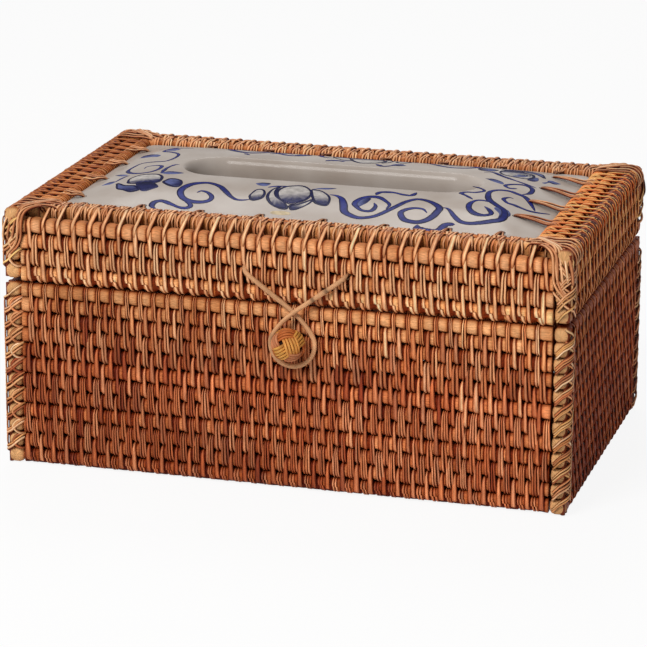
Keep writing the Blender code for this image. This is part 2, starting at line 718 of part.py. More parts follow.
def build_lid(hinge):
    """Wall mats, rim, ledge rods, plate and corner lacing of the lid, all on the hinge."""
    front = cross_mat("lid_front_panel", LID_COURSES, LID_PITCH, INNER_HALF_WIDTH)
    place = (0.0, ROD - HALF_DEPTH, LID_FLOOR)
    front = add_object("lid_front_panel", front, RATTAN_LIGHT, MATT, hinge, place)
    for side in (-1, 1):
        outer = LOOP_HOOK_RADIUS + CANE_RADIUS + CLEARANCE
        groove = groove_ring("loop_groove", LOOP_CORE_RADIUS, outer, LOOP_CANE + 2 * CLEARANCE)
        cut(front, groove, (CLOSURE_X + side * LOOP_ANCHOR, LOOP_AXIS_Y, LOOP_AXIS_Z))
    back = cross_mat("lid_back_panel", LID_COURSES, LID_PITCH, INNER_HALF_WIDTH)
    back = add_object("lid_back_panel", back, RATTAN_LIGHT, MATT, hinge, (0.0, HALF_DEPTH - ROD, LID_FLOOR))
    for index in (-1, 0, 1):
        groove = groove_ring("tie_groove", TIE_CORE_RADIUS, TIE_SWING_RADIUS, TIE_WIDTH + 2 * CLEARANCE)
        cut(back, groove, (index * TIE_SPACING, HINGE_Y, HINGE_Z))
    for name, side in (("lid_left_panel", -1), ("lid_right_panel", 1)):
        mesh = side_mat(name, LID_COURSES, LID_PITCH)
        add_object(name, mesh, RATTAN_LIGHT, MATT, hinge, (side * (HALF_WIDTH - ROD), 0.0, LID_FLOOR))
    build_rim(hinge)
    add_object("ceramic_plate", ceramic_plate("ceramic_plate"), GLAZE, GLOSSY, hinge)
    low, high = LID_FLOOR + LACE_SEAM_MARGIN, LID_TOP - LACE_END_MARGIN
    passes = LID_COURSES - 1
    plans = (("front", -1, low, passes), ("back", 1, low + WALL, passes - 1))
    for face, side_y, start, turns in plans:
        for end, side_x in (("left", -1), ("right", 1)):
            name = "lid_lacing_" + face + "_" + end
            mesh = lacing(name, start, high, turns, side_x, side_y)
            add_object(name, mesh, CANE_PALE, SATIN, hinge)


def build_rim(hinge):
    """The rim's four mitred bars, and the rods under them that the plate lies on."""
    for name, side in (("front", -1), ("back", 1)):
        mesh = rim_bar("lid_rim_" + name, INNER_HALF_WIDTH, INNER_HALF_DEPTH, True, side)
        add_object("lid_rim_" + name, mesh, RATTAN_LIGHT, MATT, hinge, (0.0, 0.0, RIM_Z))
        rod = turned(LEDGE_RADIUS, -LEDGE_HALF_WIDTH, LEDGE_HALF_WIDTH, ROD_SIDES, "X")
        mesh = loft("plate_ledge_" + name, rod)
        place = (0.0, side * LEDGE_HALF_DEPTH, LEDGE_Z)
        add_object("plate_ledge_" + name, mesh, RATTAN_DARK, MATT, hinge, place)
    for name, side in (("left", -1), ("right", 1)):
        mesh = rim_bar("lid_rim_" + name, INNER_HALF_DEPTH, INNER_HALF_WIDTH, False, side)
        add_object("lid_rim_" + name, mesh, RATTAN_LIGHT, MATT, hinge, (0.0, 0.0, RIM_Z))
        half = LEDGE_HALF_DEPTH - LEDGE_RADIUS - CLEARANCE
        mesh = loft("plate_ledge_" + name, turned(LEDGE_RADIUS, -half, half, ROD_SIDES, "Y"))
        place = (side * LEDGE_HALF_WIDTH, 0.0, LEDGE_Z)
        add_object("plate_ledge_" + name, mesh, RATTAN_DARK, MATT, hinge, place)


def build_loop(pivot):
    """The closing loop, one unbroken cane."""
    cane = cane_curve("closure_loop", loop_route(), CANE_RADIUS)
    place = (CLOSURE_X, LOOP_AXIS_Y, LOOP_AXIS_Z)
    add_object("closure_loop", cane, CANE_PALE, SATIN, pivot, place)


clear_scene()
build_body()
build_hinge_ties()
build_knob()
lid_hinge = add_pivot("lid_hinge", (0.0, HINGE_Y, HINGE_Z))
build_lid(lid_hinge)
loop_pivot = add_pivot("loop_pivot", (CLOSURE_X, LOOP_AXIS_Y, LOOP_AXIS_Z), lid_hinge)
build_loop(loop_pivot)
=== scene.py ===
"""Looks of the woven rattan tissue box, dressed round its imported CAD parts.

Sizes are in millimetres here and become metres when a mesh is made.
"""
import math

import bpy
import numpy as np
from mathutils import Matrix, Vector


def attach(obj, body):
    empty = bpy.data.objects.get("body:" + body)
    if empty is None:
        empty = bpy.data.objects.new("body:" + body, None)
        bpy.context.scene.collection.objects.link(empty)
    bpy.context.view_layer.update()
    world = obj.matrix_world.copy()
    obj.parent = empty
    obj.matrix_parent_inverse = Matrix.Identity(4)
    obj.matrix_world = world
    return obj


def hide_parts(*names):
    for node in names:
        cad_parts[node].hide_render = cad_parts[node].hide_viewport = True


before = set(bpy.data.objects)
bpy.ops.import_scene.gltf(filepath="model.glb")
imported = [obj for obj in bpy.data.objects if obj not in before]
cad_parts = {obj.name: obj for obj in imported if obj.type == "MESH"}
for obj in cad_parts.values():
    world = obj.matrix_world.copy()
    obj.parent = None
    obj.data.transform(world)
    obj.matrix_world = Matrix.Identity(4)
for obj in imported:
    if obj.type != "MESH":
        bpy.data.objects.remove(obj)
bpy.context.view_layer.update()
rng = np.random.default_rng(11)

# Sizes of the box: its rods, walls, courses and lid, and where its ties and its loop are

MM = 0.001
ROD = 3.7
HALF_WIDTH = 123.5
HALF_DEPTH = 78.5
INNER_WIDTH = 115.8
INNER_DEPTH = 70.8
BODY_COURSES = 12
BODY_TOP = 82.3
BODY_PITCH = (BODY_TOP - 2 * ROD) / (BODY_COURSES - 1)
LID_FLOOR = BODY_TOP + 0.6
LID_TOP = LID_FLOOR + 31.1
LID_COURSES = 4
LID_PITCH = (LID_TOP - LID_FLOOR - 2 * ROD) / (LID_COURSES - 1)
RIM_RADIUS = 3.15
RIM_PITCH = 5.9
RIM_Z = LID_TOP - RIM_RADIUS
MITRE_GAP = 0.3
TIE_SPACING = 70.0
CLOSURE_X = 6.0
LOOP_ANCHOR = 22.0
LOWEST = 0.06

# Each face of the box: the way along it, to the right for who looks at it from outside, and the way out
X, Y, UP = np.eye(3)
SIDES = {"front": (X, -Y), "right": (Y, X), "back": (-X, Y), "left": (-Y, -X), "base": (X, Y)}
CORNERS = [(face, end, side_x, side_y) for face, side_y in (("front", -1), ("back", 1))
           for end, side_x in (("left", -1), ("right", 1))]

# Section of a cane strand, across its width and up from its flat underside, and the light on each point
STRAND = np.array([(-0.5, 0), (-0.43, 0.48), (-0.28, 0.9), (-0.06, 1), (0.12, 1), (0.28, 0.9),
                   (0.43, 0.46), (0.5, 0)])
STRAND_SHADE = np.array([0.1, 0.14, 0.9, 1.34, 1.54, 1.06, 0.18, 0.1])


def warm(shade):
    """A shade as a colour factor: the darker, the redder."""
    return np.asarray(shade, float)[..., None] ** np.array([0.85, 1.5, 2.2])


def srgb(*rgb):
    """A colour, or each of several, as seen on a screen, 0 to 255, as linear values."""
    c = np.array(rgb, float) / 255
    return np.where(c <= 0.04045, c / 12.92, ((c + 0.055) / 1.055) ** 2.4)


def unit(vectors):
    """The vectors at length 1."""
    return vectors / np.linalg.norm(vectors, axis=-1, keepdims=True)


def run_along(path):
    """The distance along a path at each of its points."""
    return np.concatenate([[0], np.cumsum(np.linalg.norm(np.diff(path, axis=0), axis=1))])


def together(*values):
    """Arrays of unlike shapes as the last axis of one array."""
    return np.stack(np.broadcast_arrays(*values), -1)


def put(name, data):
    """A new object in the scene."""
    item = bpy.data.objects.new(name, data)
    bpy.context.scene.collection.objects.link(item)
    return item


class Batch:
    """Tubes of points that become one mesh, with a tint and a place in the grain at each point."""

    def __init__(self):
        self.points, self.quads, self.tris, self.tints, self.grains = [], [], [], [], []
        self.count = 0

    def add(self, points, tints, grains):
        """Takes in points and returns their numbers, in the same shape."""
        for kept, values in ((self.points, points), (self.tints, tints), (self.grains, grains)):
            kept.append(np.broadcast_to(values, points.shape).reshape(-1, 3))
        index = self.count + np.arange(points[..., 0].size).reshape(points.shape[:-1])
        self.count += index.size
        return index

    def tubes(self, points, tints, grains, loop=False):
        """Tubes (tube, station, side, xyz), closed round their section, and end to end or by flat ends."""
        tints, grains = np.broadcast_to(tints, points.shape), np.broadcast_to(grains, points.shape)
        index = self.add(points, tints, grains)
        last = index.shape[1] if loop else -1
        here, ahead = index[:, :last], np.roll(index, -1, 1)[:, :last]
        quads = np.stack([here, np.roll(here, -1, 2), np.roll(ahead, -1, 2), ahead], -1)
        flat = points - points.mean((1, 2), keepdims=True)
        a, d = flat[:, :last], np.roll(flat, -1, 1)[:, :last]
        b, c = np.roll(a, -1, 2), np.roll(d, -1, 2)
        flip = ((a * np.cross(b, c)).sum(-1) + (a * np.cross(c, d)).sum(-1)).sum((1, 2)) < 0
        quads[flip] = quads[flip][..., ::-1]
        self.quads.append(quads.reshape(-1, 4))
        for station, way in () if loop else ((0, 1), (-1, -1)):
            ring = index[:, station]
            middle = self.add(*(values[:, station].mean(1) for values in (points, tints, grains)))
            tri = np.stack([np.broadcast_to(middle[:, None], ring.shape), np.roll(ring, -way, 1), ring], -1)
            tri[flip] = tri[flip][..., ::-1]
            self.tris.append(tri.reshape(-1, 3))

    def build(self, name, material, body, nodes, slot):
        """The mesh as a piece that rides on a body and stands for CAD nodes."""
        points = np.concatenate(self.points) * MM
        quads, tris = np.concatenate(self.quads), np.concatenate([*self.tris, np.zeros((0, 3), int)])
        corners = np.concatenate([quads.ravel(), tris.ravel()]).astype(np.int32)
        starts = np.concatenate([np.arange(len(quads)) * 4, len(quads) * 4 + np.arange(len(tris)) * 3])
        mesh = bpy.data.meshes.new(name)
        mesh.vertices.add(len(points))
        mesh.vertices.foreach_set("co", points.astype(np.float32).ravel())
        mesh.loops.add(len(corners))
        mesh.loops.foreach_set("vertex_index", corners)
        mesh.polygons.add(len(starts))
        mesh.polygons.foreach_set("loop_start", starts.astype(np.int32))
        mesh.update(calc_edges=True)
        tints = np.ones((len(points), 4), np.float32)
        tints[:, :3] = np.clip(np.concatenate(self.tints), 0, 1)
        mesh.attributes.new("tint", "FLOAT_COLOR", "POINT").data.foreach_set("color", tints.ravel())
        grains = np.concatenate(self.grains).astype(np.float32)
        mesh.attributes.new("grain", "FLOAT_VECTOR", "POINT").data.foreach_set("vector", grains.ravel())
        mesh.shade_smooth()
        mesh.materials.append(material)
        piece = put(name, mesh)
        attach(piece, body)
        if nodes:
            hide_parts(*nodes)


def place(side, along, out, up):
    """World points of a face of the box from distances along it, out from the middle and up."""
    way, outward = SIDES[side]
    return along[..., None] * way + out[..., None] * outward + up[..., None] * UP


def pick(palette, count, spread=0.06):
    """Colours from a palette, one for each of a number of strands."""
    palette = np.array(palette)
    chosen = palette[rng.integers(len(palette), size=count)]
    mixed = palette[rng.integers(len(palette), size=count)]
    share = rng.uniform(0, 0.6, (count, 1))
    return (chosen * (1 - share) + mixed * share) * rng.normal(1, spread, (count, 1)).clip(0.8, 1.2)


# Materials


class Wiring:
    """Short ways to wire the nodes of a material or a world."""

    def __init__(self, owner):
        owner.use_nodes = True
        self.nodes, self.link = owner.node_tree.nodes, owner.node_tree.links.new

    def feed(self, node, inputs):
        """Gives each named input of a node a value, or links it to an output."""
        for name, value in inputs.items():
            if isinstance(value, bpy.types.NodeSocket):
                self.link(value, node.inputs[name])
            else:
                node.inputs[name].default_value = value

    def add(self, kind, inputs, output=0, **settings):
        """An output of a new node."""
        node = self.nodes.new("ShaderNode" + kind)
        for name, value in settings.items():
            setattr(node, name, value)
        self.feed(node, inputs)
        return node.outputs[output]

    def noise(self, vector, scale, detail, stretch=None):
        """A noise texture over a vector, stretched by a factor on each axis."""
        if stretch:
            vector = self.add("VectorMath", {0: vector, 1: stretch}, operation="MULTIPLY")
        return self.add("TexNoise", {"Scale": scale, "Detail": detail, "Vector": vector}, "Fac")

    def remap(self, value, to_low, to_high, low=0.3, high=0.7):
        """A value from low to high, mapped to another stretch. Noise lies mostly between 0.3 and 0.7."""
        return self.add("MapRange", {0: value, 1: low, 2: high, 3: to_low, 4: to_high})

    def scaled(self, colour, factor):
        """A colour times a factor."""
        return self.add("VectorMath", {0: colour, "Scale": factor}, operation="SCALE")

    def ramp(self, value, dark, light, high):
        """A colour from dark to light as a value goes up."""
        colour = self.add("ValToRGB", {0: value})
        ends = colour.node.color_ramp.elements
        for end, tint, position in zip(ends, (dark, light), (0.3, high)):
            end.color = (*tint, 1)
            end.position = position
        return colour

    def relief(self, height, strength, distance=0.0003):
        """The normals of a bumpy surface."""
        return self.add("Bump", {"Strength": strength, "Distance": distance, "Height": height})


def new_material(name):
    """A material, its wiring and its shader."""
    material = bpy.data.materials.new(name)
    wiring = Wiring(material)
    return material, wiring, wiring.nodes["Principled BSDF"]


def cane_material(name, streak=(0.5, 1.3), bump=0.35, stretch=(0.22, 5.0, 9.0), shine=0.2):
    """Split cane: tinted strand by strand, with fine fibres along it."""
    material, wiring, shader = new_material(name)
    tint = wiring.add("Attribute", {}, "Color", attribute_name="tint")
    grain = wiring.add("Attribute", {}, "Vector", attribute_name="grain")
    fibre = wiring.noise(grain, 1.0, 3.0, stretch)
    blot = wiring.remap(wiring.noise(grain, 1.0, 2.0, (0.16, 0.3, 5.0)), 0.82, 1.14)
    shade = wiring.add("Math", {0: wiring.remap(fibre, *streak), 1: blot}, operation="MULTIPLY")
    wiring.feed(shader, {"Base Color": wiring.scaled(tint, shade), "Specular IOR Level": shine,
                         "Roughness": wiring.remap(fibre, 0.65, 0.45), "Normal": wiring.relief(fibre, bump)})
    return material


def plain_cane(name, dark, light):
    """Cane without its own tints: fibres in the object's own coordinates."""
    material, wiring, shader = new_material(name)
    fibre = wiring.noise(wiring.add("TexCoord", {}, "Object"), 900.0, 3.0, (0.25, 1.0, 1.0))
    wiring.feed(shader, {"Base Color": wiring.ramp(fibre, dark, light, 0.7), "Specular IOR Level": 0.25,
                         "Roughness": wiring.remap(fibre, 0.65, 0.45), "Normal": wiring.relief(fibre, 0.3)})
    return material


def glaze_material(name, painted):
    """Clear glaze over a pale body that is lighter towards the right by painted light, or over the blue
    painting.
    """
    material, wiring, shader = new_material(name)
    spot = wiring.add("TexCoord", {}, "Object")
    cloud = wiring.noise(spot, 45.0, 3.0)
    if painted:
        colour = wiring.add("Attribute", {}, "Color", attribute_name="tint")
        shade = wiring.remap(wiring.noise(spot, 400.0, 2.0), 0.75, 1.25)
    else:
        colour = wiring.ramp(cloud, srgb(164, 151, 141), srgb(181, 171, 163), 0.65)
        # Painted light: the pale glaze lighter towards the box's right, by x
        shade = wiring.remap(wiring.add("SeparateXYZ", {0: spot}, "X"), 1.0, 1.16, 0.01, 0.1)
    wiring.feed(shader, {"Base Color": wiring.scaled(colour, shade), "Specular IOR Level": 0.0,
                         "Roughness": wiring.remap(cloud, 0.3, 0.45), "Coat Weight": 0.12 if painted else 0.3,
                         "Coat Roughness": 0.16, "Normal": wiring.relief(cloud, 0.05, 0.001)})
    return material


CANE = cane_material("split_cane")
ROD_CANE = cane_material("rod_cane", (0.66, 1.28), 0.45, (0.45, 3.6, 9.0), 0.08)
SIDE_CANE = cane_material("side_cane", shine=0.08)
LOOP_CANE = cane_material("loop_cane", (0.75, 1.15), 0.3, (0.4, 4.0, 9.0))
GLAZE = glaze_material("pale_glaze", False)
BLUE_GLAZE = glaze_material("blue_underglaze", True)

# Weaving: the painted shade in the gaps between rods, the tint of the rods' ends, how strands pinch a rod,
# and the painted shade on a rod beside them

# Painted shade: the dark red that the faces of a rod towards its neighbours are mixed to, for the crevices
# between rods
GAP_SHADE_TINT = srgb(112, 38, 8)
END_TINT = srgb(224, 170, 116)
LOW_CUT = 0.62
HIGH_CUT = 0.25
LOW_CUT_RUN = 4.4
HIGH_CUT_RUN = 0.8
PINCH_START = 0.42
PINCH_END = 0.14
PINCH_MOST = 0.6
PINCH_REACH = 0.62
NECK_FLARE = 0.8
FAR = 99.0
LOT = 3.3
# Painted shade on a rod beside each strand: how dark it gets and how far it reaches
STRAND_EDGE_SHADE = 0.88
STRAND_EDGE_SHADE_WIDTH = 0.46
WRAP_PLAN = np.array([
    # rod (0 upper, 1 lower), angle, share of the drift, share of the width
    (0, 168, 0, 0.7), (0, 140, 0.06, 0.92), (0, 112, 0.15, 1), (0, 90, 0.28, 1), (0.5, 90, 0.45, 1),
    (1, 90, 0.62, 1), (1, 65, 0.74, 0.98), (1, 40, 0.88, 0.86), (1, 15, 1, 0.62), (1, -20, 0.95, 0.6),
    (1, -55, 0.75, 0.9), (1, -90, 0.6, 1), (0, -90, 0.4, 1), (0, -130, 0.2, 0.9),
])


def wraps(batch, side, upper, lower, places, shifts, widths, drifts, thickness, tints, lift, taper):
    """Cane strands tied round two neighbouring rods, or one rod given twice, wider below by the taper."""
    step = np.subtract(lower["centre"], upper["centre"])
    toward = np.array(upper["toward"]) if upper is lower else unit(step)
    basis = np.array([toward, (-toward[1], toward[0])])
    which, degrees, share, wide = WRAP_PLAN.T
    cos, sin = np.cos(np.radians(degrees)), np.sin(np.radians(degrees))
    semi = np.outer(1 - which, upper["pinched"]) + np.outer(which, np.add(lower["pinched"], (0, 0.12)))
    turn = np.stack([cos, sin], -1)
    path = upper["centre"] + which[:, None] * step + (semi * turn) @ basis
    normal = unit((turn / semi) @ basis)
    lifts = lift + rng.uniform(0, 0.12, len(places))[:, None, None]
    flare = 1 + taper * (share - 0.5)
    flat = places[:, None] + drifts[:, None] * share + shifts[:, None] * flare
    across = STRAND[:, 0] * widths[:, None, None] * (wide * flare)[:, None]
    rise = lifts + STRAND[:, 1] * thickness
    out, up = (path[:, axis, None] + normal[:, axis, None] * rise for axis in (0, 1))
    points = place(side, flat[..., None] + across, out, np.maximum(up, LOWEST))
    # Painted shade: a strand darker where it turns down between the rods, less on a rod's open face
    dark = 0.38 + 0.62 * np.clip(1.25 * np.abs(sin), 0, 1) ** 1.5
    bare_side = np.where(cos > 0, lower.get("open", 0), -upper.get("open", 0))
    dark = np.where(bare_side == 1, 0.92, dark)
    colour = tints[:, None, None] * warm(dark[:, None] * STRAND_SHADE)
    seeds = rng.uniform(0, 50, len(places))
    batch.tubes(points, colour, together(run_along(path)[:, None], across, seeds[:, None, None]), loop=True)


def rod_stations(half, dome, bundles, step):
    """Places along a rod: even ones, and more at the edges of the strands that cross it."""
    marks = [np.linspace(dome + 0.2 - half, half - dome - 0.2, int(2 * half / step))]
    for centres, wide, deep in bundles:
        for beyond in (-0.15, 0.1, 0.5):
            marks += [centres - wide / 2 - beyond, centres + wide / 2 + beyond]
    s = np.unique(np.concatenate(marks))
    s = s[np.abs(s) <= half - dome - 0.19]
    return s[np.concatenate([[True], np.diff(s) > 0.14])]


def rod(batch, side, spec, starts, ends, base, colour_of, step, sides):
    """One cane rod, swelling between the strands that pinch it, round at its ends or cut to a mitre."""
    centre, toward = spec["centre"], spec["toward"]
    half, dome = spec["half"], spec["dome"]
    s = rod_stations(half, dome, starts + ends, step)
    shares = np.ones(len(s))
    if dome:
        angle = np.radians([90, 60, 35, 12])
        tips = half - dome * (1 - np.sin(angle))
        cap = 1 - dome * (1 - np.cos(angle)) / ROD
        s = np.concatenate([-tips, s, tips[::-1]])
        shares = np.concatenate([cap, shares, cap[::-1]])
    pinch, low_cut, high_cut = np.zeros((3, len(s)))
    bare = np.full(len(s), FAR)
    for centres, wide, deep in starts + ends:
        away = s[:, None] - centres
        pinch += (deep * np.exp(-(away / (PINCH_REACH * wide)) ** 2)).sum(1)
        bare = np.minimum(bare, np.abs(away).min(1) - wide / 2)
        if deep == PINCH_START:
            right, left = away - wide / 2, -away - wide / 2
            low = LOW_CUT * np.clip(1 - np.clip(right, 0, FAR) / LOW_CUT_RUN, 0, 1)
            low_cut += (low * (right > -wide / 2)).sum(1)
            high = HIGH_CUT * np.exp(-np.clip(left, 0, FAR) / HIGH_CUT_RUN)
            high_cut += (high * (left > -wide / 2)).sum(1)
    low_cut, high_cut = np.minimum(low_cut, LOW_CUT), np.minimum(high_cut, HIGH_CUT)
    wave = 0.06 * np.sin(s / 4.1 + rng.uniform(0, 6)) + 0.05 * np.sin(s / 1.7 + rng.uniform(0, 6))
    inward = (np.minimum(pinch, PINCH_MOST) + wave)[:, None]
    neck = np.ones(len(s))
    for where, radius, wide in spec.get("necks", ()):
        free = np.clip((np.abs(s - where) - wide / 2) / NECK_FLARE, 0, 1)
        neck = np.minimum(neck, radius / spec["semi"][1] + (1 - radius / spec["semi"][1]) * free)
    theta = 2 * np.pi * (np.arange(sides) + 0.5) / sides
    cos, sin = np.cos(theta), np.sin(theta)
    x_d, x_n = (semi * np.sign(turn) * np.abs(turn) ** (2 / 3) - turn * inward
                for semi, turn in zip(spec["semi"], (cos, sin)))
    x_d -= np.clip(cos, 0, 1) * low_cut[:, None] - np.clip(-cos, 0, 1) * high_cut[:, None]
    scale = (shares * neck)[:, None]
    x_d, x_n = x_d * scale, x_n * scale
    out = centre[0] + x_d * toward[0] - x_n * toward[1]
    up = np.maximum(centre[1] + x_d * toward[1] + x_n * toward[0], LOWEST)
    along = np.broadcast_to(s[:, None], out.shape).copy()
    if spec.get("mitre"):
        along += (out - centre[0]) * np.sign(s)[:, None] * np.clip(np.abs(s) / half, 0, 1)[:, None] ** 10
    # Painted shade: the rod darker next to the edges of the strands that cross it
    outline = 1 - spec.get("strand_edge_shade", STRAND_EDGE_SHADE) * np.exp(-(np.clip(bare, 0, None) / STRAND_EDGE_SHADE_WIDTH) ** 2)
    lots = np.arange(-half - 7, half + 8, LOT)
    block = np.interp(s, lots, rng.normal(1, 0.09, len(lots)))
    # Painted shade: a rod darker on the faces that look towards its neighbours; the lots' random tone is the
    # cane's own
    shade = (outline * block)[:, None] * (1 - 0.35 * np.abs(cos) ** 2)
    colour = base * colour_of(along, up)
    # Painted shade in the crevices: the share of the gap's dark red on each face that looks towards a
    # neighbouring rod, none on an open face
    deep = np.where(cos * spec.get("open", 0) > 0, 0, np.abs(cos) ** 5)[:, None]
    if dome:
        pale = np.clip((np.abs(s) - half + 3.0) / 2.0, 0, 1)[:, None]
        shade = shade * (1 - pale) + pale * (0.92 + 0.12 * rng.random(along.shape))
        colour = colour * (1 - pale[..., None]) + pale[..., None] * END_TINT
        deep = deep * (1 - pale[..., None])
    colour = colour * warm(shade) * (1 - deep) + GAP_SHADE_TINT * deep
    grains = together(along, theta / (2 * np.pi) * 20, rng.uniform(0, 50))
    batch.tubes(place(side, along, out, up)[None], colour[None], grains[None])


def family(half, pitch, offset, jitter=0.34):
    """Places of a row of strands along a rod."""
    places = -half + (offset % 1.0) * pitch + np.arange(int(2 * half / pitch) + 1) * pitch
    places = places[places < half - 0.2]
    return places + rng.uniform(-jitter, jitter, len(places))


def weave(name, side, body, rods, nodes, style):
    """A mat of rods, top first, with strands tied over each two neighbours in brick order."""
    strands, canes = Batch(), Batch()
    first, last = (-1, len(rods)) if style["edge_wraps"] == 2 else (0, len(rods) - 1 + style["edge_wraps"])
    pairs = {index: (rods[max(index, 0)], rods[min(index + 1, len(rods) - 1)])
             for index in range(first, last)}
    halves = {index: min(spec["weave_half"] for spec in pair) for index, pair in pairs.items()}
    plan = {index: family(half, style["pitch"], 0.5 + index * 0.45 + rng.normal(0, 0.03))
            for index, half in halves.items()}
    for index, (other, shift) in style["joined"].items():
        places = plan[other] + shift + rng.normal(0, 0.12, len(plan[other]))
        plan[index] = places[np.abs(places) < halves[index]]
    groups = []
    for index, (upper, lower) in pairs.items():
        places = plan[index]
        n = len(places)
        count, width, taper, drift, light = style["bunches"][(index - first) % len(style["bunches"])]
        joined = index in style["joined"]
        if joined:
            drift = -style["joined"][index][1]
        drifts = rng.normal(drift, 0.3, n)
        lift = 0.3 if joined or (upper is lower and index >= 0) else 0.0
        near = style["colour_of"](places, (upper["centre"][1] + lower["centre"][1]) / 2) * light
        wides = width / count * rng.uniform(0.88, 1.12, n)
        common = pick(style["strands"], n)
        for strand in range(count):
            own = (0.55 * common + 0.45 * pick(style["strands"], n)) * near
            shift = (strand - (count - 1) / 2) * wides * 0.98 + rng.normal(0, 0.05, n)
            lean = rng.normal(0, 0.1, n)
            wraps(strands, side, upper, lower, places, shift, wides * rng.uniform(0.85, 1.1, n),
                  drifts + lean, style["thickness"], own, lift, taper)
        groups.append((index, places, drifts, width))
    for number, spec in enumerate(rods):
        starts = [(places, width, PINCH_START) for index, places, drifts, width in groups
                  if number == max(index, 0)]
        ends = [(places + drifts * 0.75, width, PINCH_END) for index, places, drifts, width in groups
                if index + 1 == number and index >= 0]
        base = pick(style["blocks"], 1, 0.05)[0] * spec.get("tint", 1.0) * style["rod_light"].get(number, 1.0)
        rod(canes, side, spec, starts, ends, base, style["colour_of"], style["step"], style["sides"])
    canes.build(name + "_rods", ROD_CANE, body, nodes, style["slot"])
    strands.build(name + "_strands", style["cane"], body, nodes, "cane_lacing")


def blotches(seed):
    """A smooth field of light and dark patches over a wall."""
    local = np.random.default_rng(seed)
    waves = [(local.uniform(0.03, 0.16), local.uniform(0.05, 0.3), local.uniform(0, 6.3)) for _ in range(7)]

    def field(along, up):
        return sum(np.sin(a * along + b * up + c) for a, b, c in waves) / 4

    return field


def body_shade(seed):
    """How a wall of the body is tinted: darker and redder towards its foot, and lighter to the right as
    painted light.
    """
    field = blotches(seed)

    def colour_of(along, up):
        level = up / BODY_TOP
        fade = 0.76 + 0.24 * np.clip(level, 0, 1) + 0.12 * field(along, up)
        # Painted light: the tanh term makes the wall lighter to the right
        fade = np.clip(fade * (0.95 + 0.18 * np.tanh(along / 50)), 0.4, 1.35)[..., None]
        ruddy = np.clip((0.92 - level) / 0.35, 0, 1)[..., None] * (0.02, 0.23, 0.27)
        return fade ** (0.9, 1.15, 1.35) * (1.04, 0.95, 0.86) * (1 - ruddy)

    return colour_of


def lid_shade(seed):
    """How a wall of the lid is tinted: nearly even, and lighter to the right as painted light."""
    field = blotches(seed)

    def colour_of(along, up):
        # Painted light: the tanh term makes the wall lighter to the right
        shade = 1.2 + 0.07 * field(along, up) + 0.1 * np.tanh(along / 50)
        return np.clip(shade, 0.8, 1.5)[..., None] * (1, 1.01, 1.02)

    return colour_of


LID_STRANDS = srgb((212, 146, 96), (196, 124, 76), (224, 162, 112), (172, 98, 56), (204, 134, 84))
LID_BLOCKS = srgb((222, 164, 116), (226, 172, 116), (212, 148, 102))
BODY_STRANDS = srgb((218, 142, 88), (176, 94, 50), (236, 176, 126), (138, 58, 26), (204, 122, 70))
BODY_BLOCKS = srgb((246, 196, 148), (234, 174, 124), (216, 146, 96))
PALE_ROW = np.array([1.06, 1.04, 0.98])

# Half sizes of the rods free and under strands, and the margins of the weave at their ends
ROD_GAP = 0.02
WALL_ROD = 3.5
WALL_PINCHED = 3.08
WALL_BITE = 0.35
FOOT_PINCHED = (2.3, 3.08)
FRONT_MARGIN = 1
SIDE_MARGIN = 9
SIDE_DOME = 2.6
RIM_ROD = (2.93, 3.05)
RIM_PINCHED = (2.75, 2.6)
RIM_MARGIN = 3


def rod_spec(centre, toward, semi, pinched, half, margin, **more):
    """A rod from its centre (out, up), the way to the next rod, its half sizes free and under strands, half
    its length and the margin that the weave leaves at its ends."""
    return {"centre": centre, "toward": toward, "semi": semi, "pinched": pinched, "half": half,
            "weave_half": half - margin, "dome": 0, **more}


def wall_rods(rows, floor, reach, half, margin, dome):
    """The rods of a wall from the top down, from the height and half the depth of each row."""
    return [rod_spec((reach, floor + height), (0, -1), (depth - ROD_GAP, WALL_ROD),
                     (depth - WALL_BITE, WALL_PINCHED), half, margin, dome=dome) for height, depth in rows]


def rim_rods(reach, along_reach, looks):
    """The two rods of the rim on one side, the inner one first."""
    rods = []
    for index in (1, 0):
        out = reach - RIM_RADIUS - index * RIM_PITCH
        half = along_reach - reach + out - MITRE_GAP
        rods.append(rod_spec((out, RIM_Z + 0.1 * index), (1, 0), RIM_ROD, RIM_PINCHED, half, RIM_MARGIN,
                             mitre=True, open=-1 if index else 1, **looks))
    return rods


BODY_ROWS = [(ROD + course * BODY_PITCH, BODY_PITCH / 2) for course in reversed(range(BODY_COURSES))]
BODY_ROWS[0] = (BODY_TOP - 4.2, 3.3)
SIDE_ROWS = ((27.3, 3.85), (19.6, 3.9), (11.7, 3.9), (3.7, 3.65))
LID_ROWS = {
    "front": ((23.7, 3.4), (16.7, 3.5), (9.6, 3.6), (2.5, 3.5)), "right": SIDE_ROWS,
    "back": ((26.6, 3.7), (19.2, 3.8), (11.5, 3.9), (3.7, 3.65)), "left": SIDE_ROWS,
}

# Where something is hooked round a rod: its place, the rod's radius there and the width of the neck
TIE_NECKS = [(index * TIE_SPACING, 2.35, 4.4) for index in (-1, 0, 1)]
LOOP_NECKS = [(CLOSURE_X + way * LOOP_ANCHOR, 1, 2.8) for way in (-1, 1)]

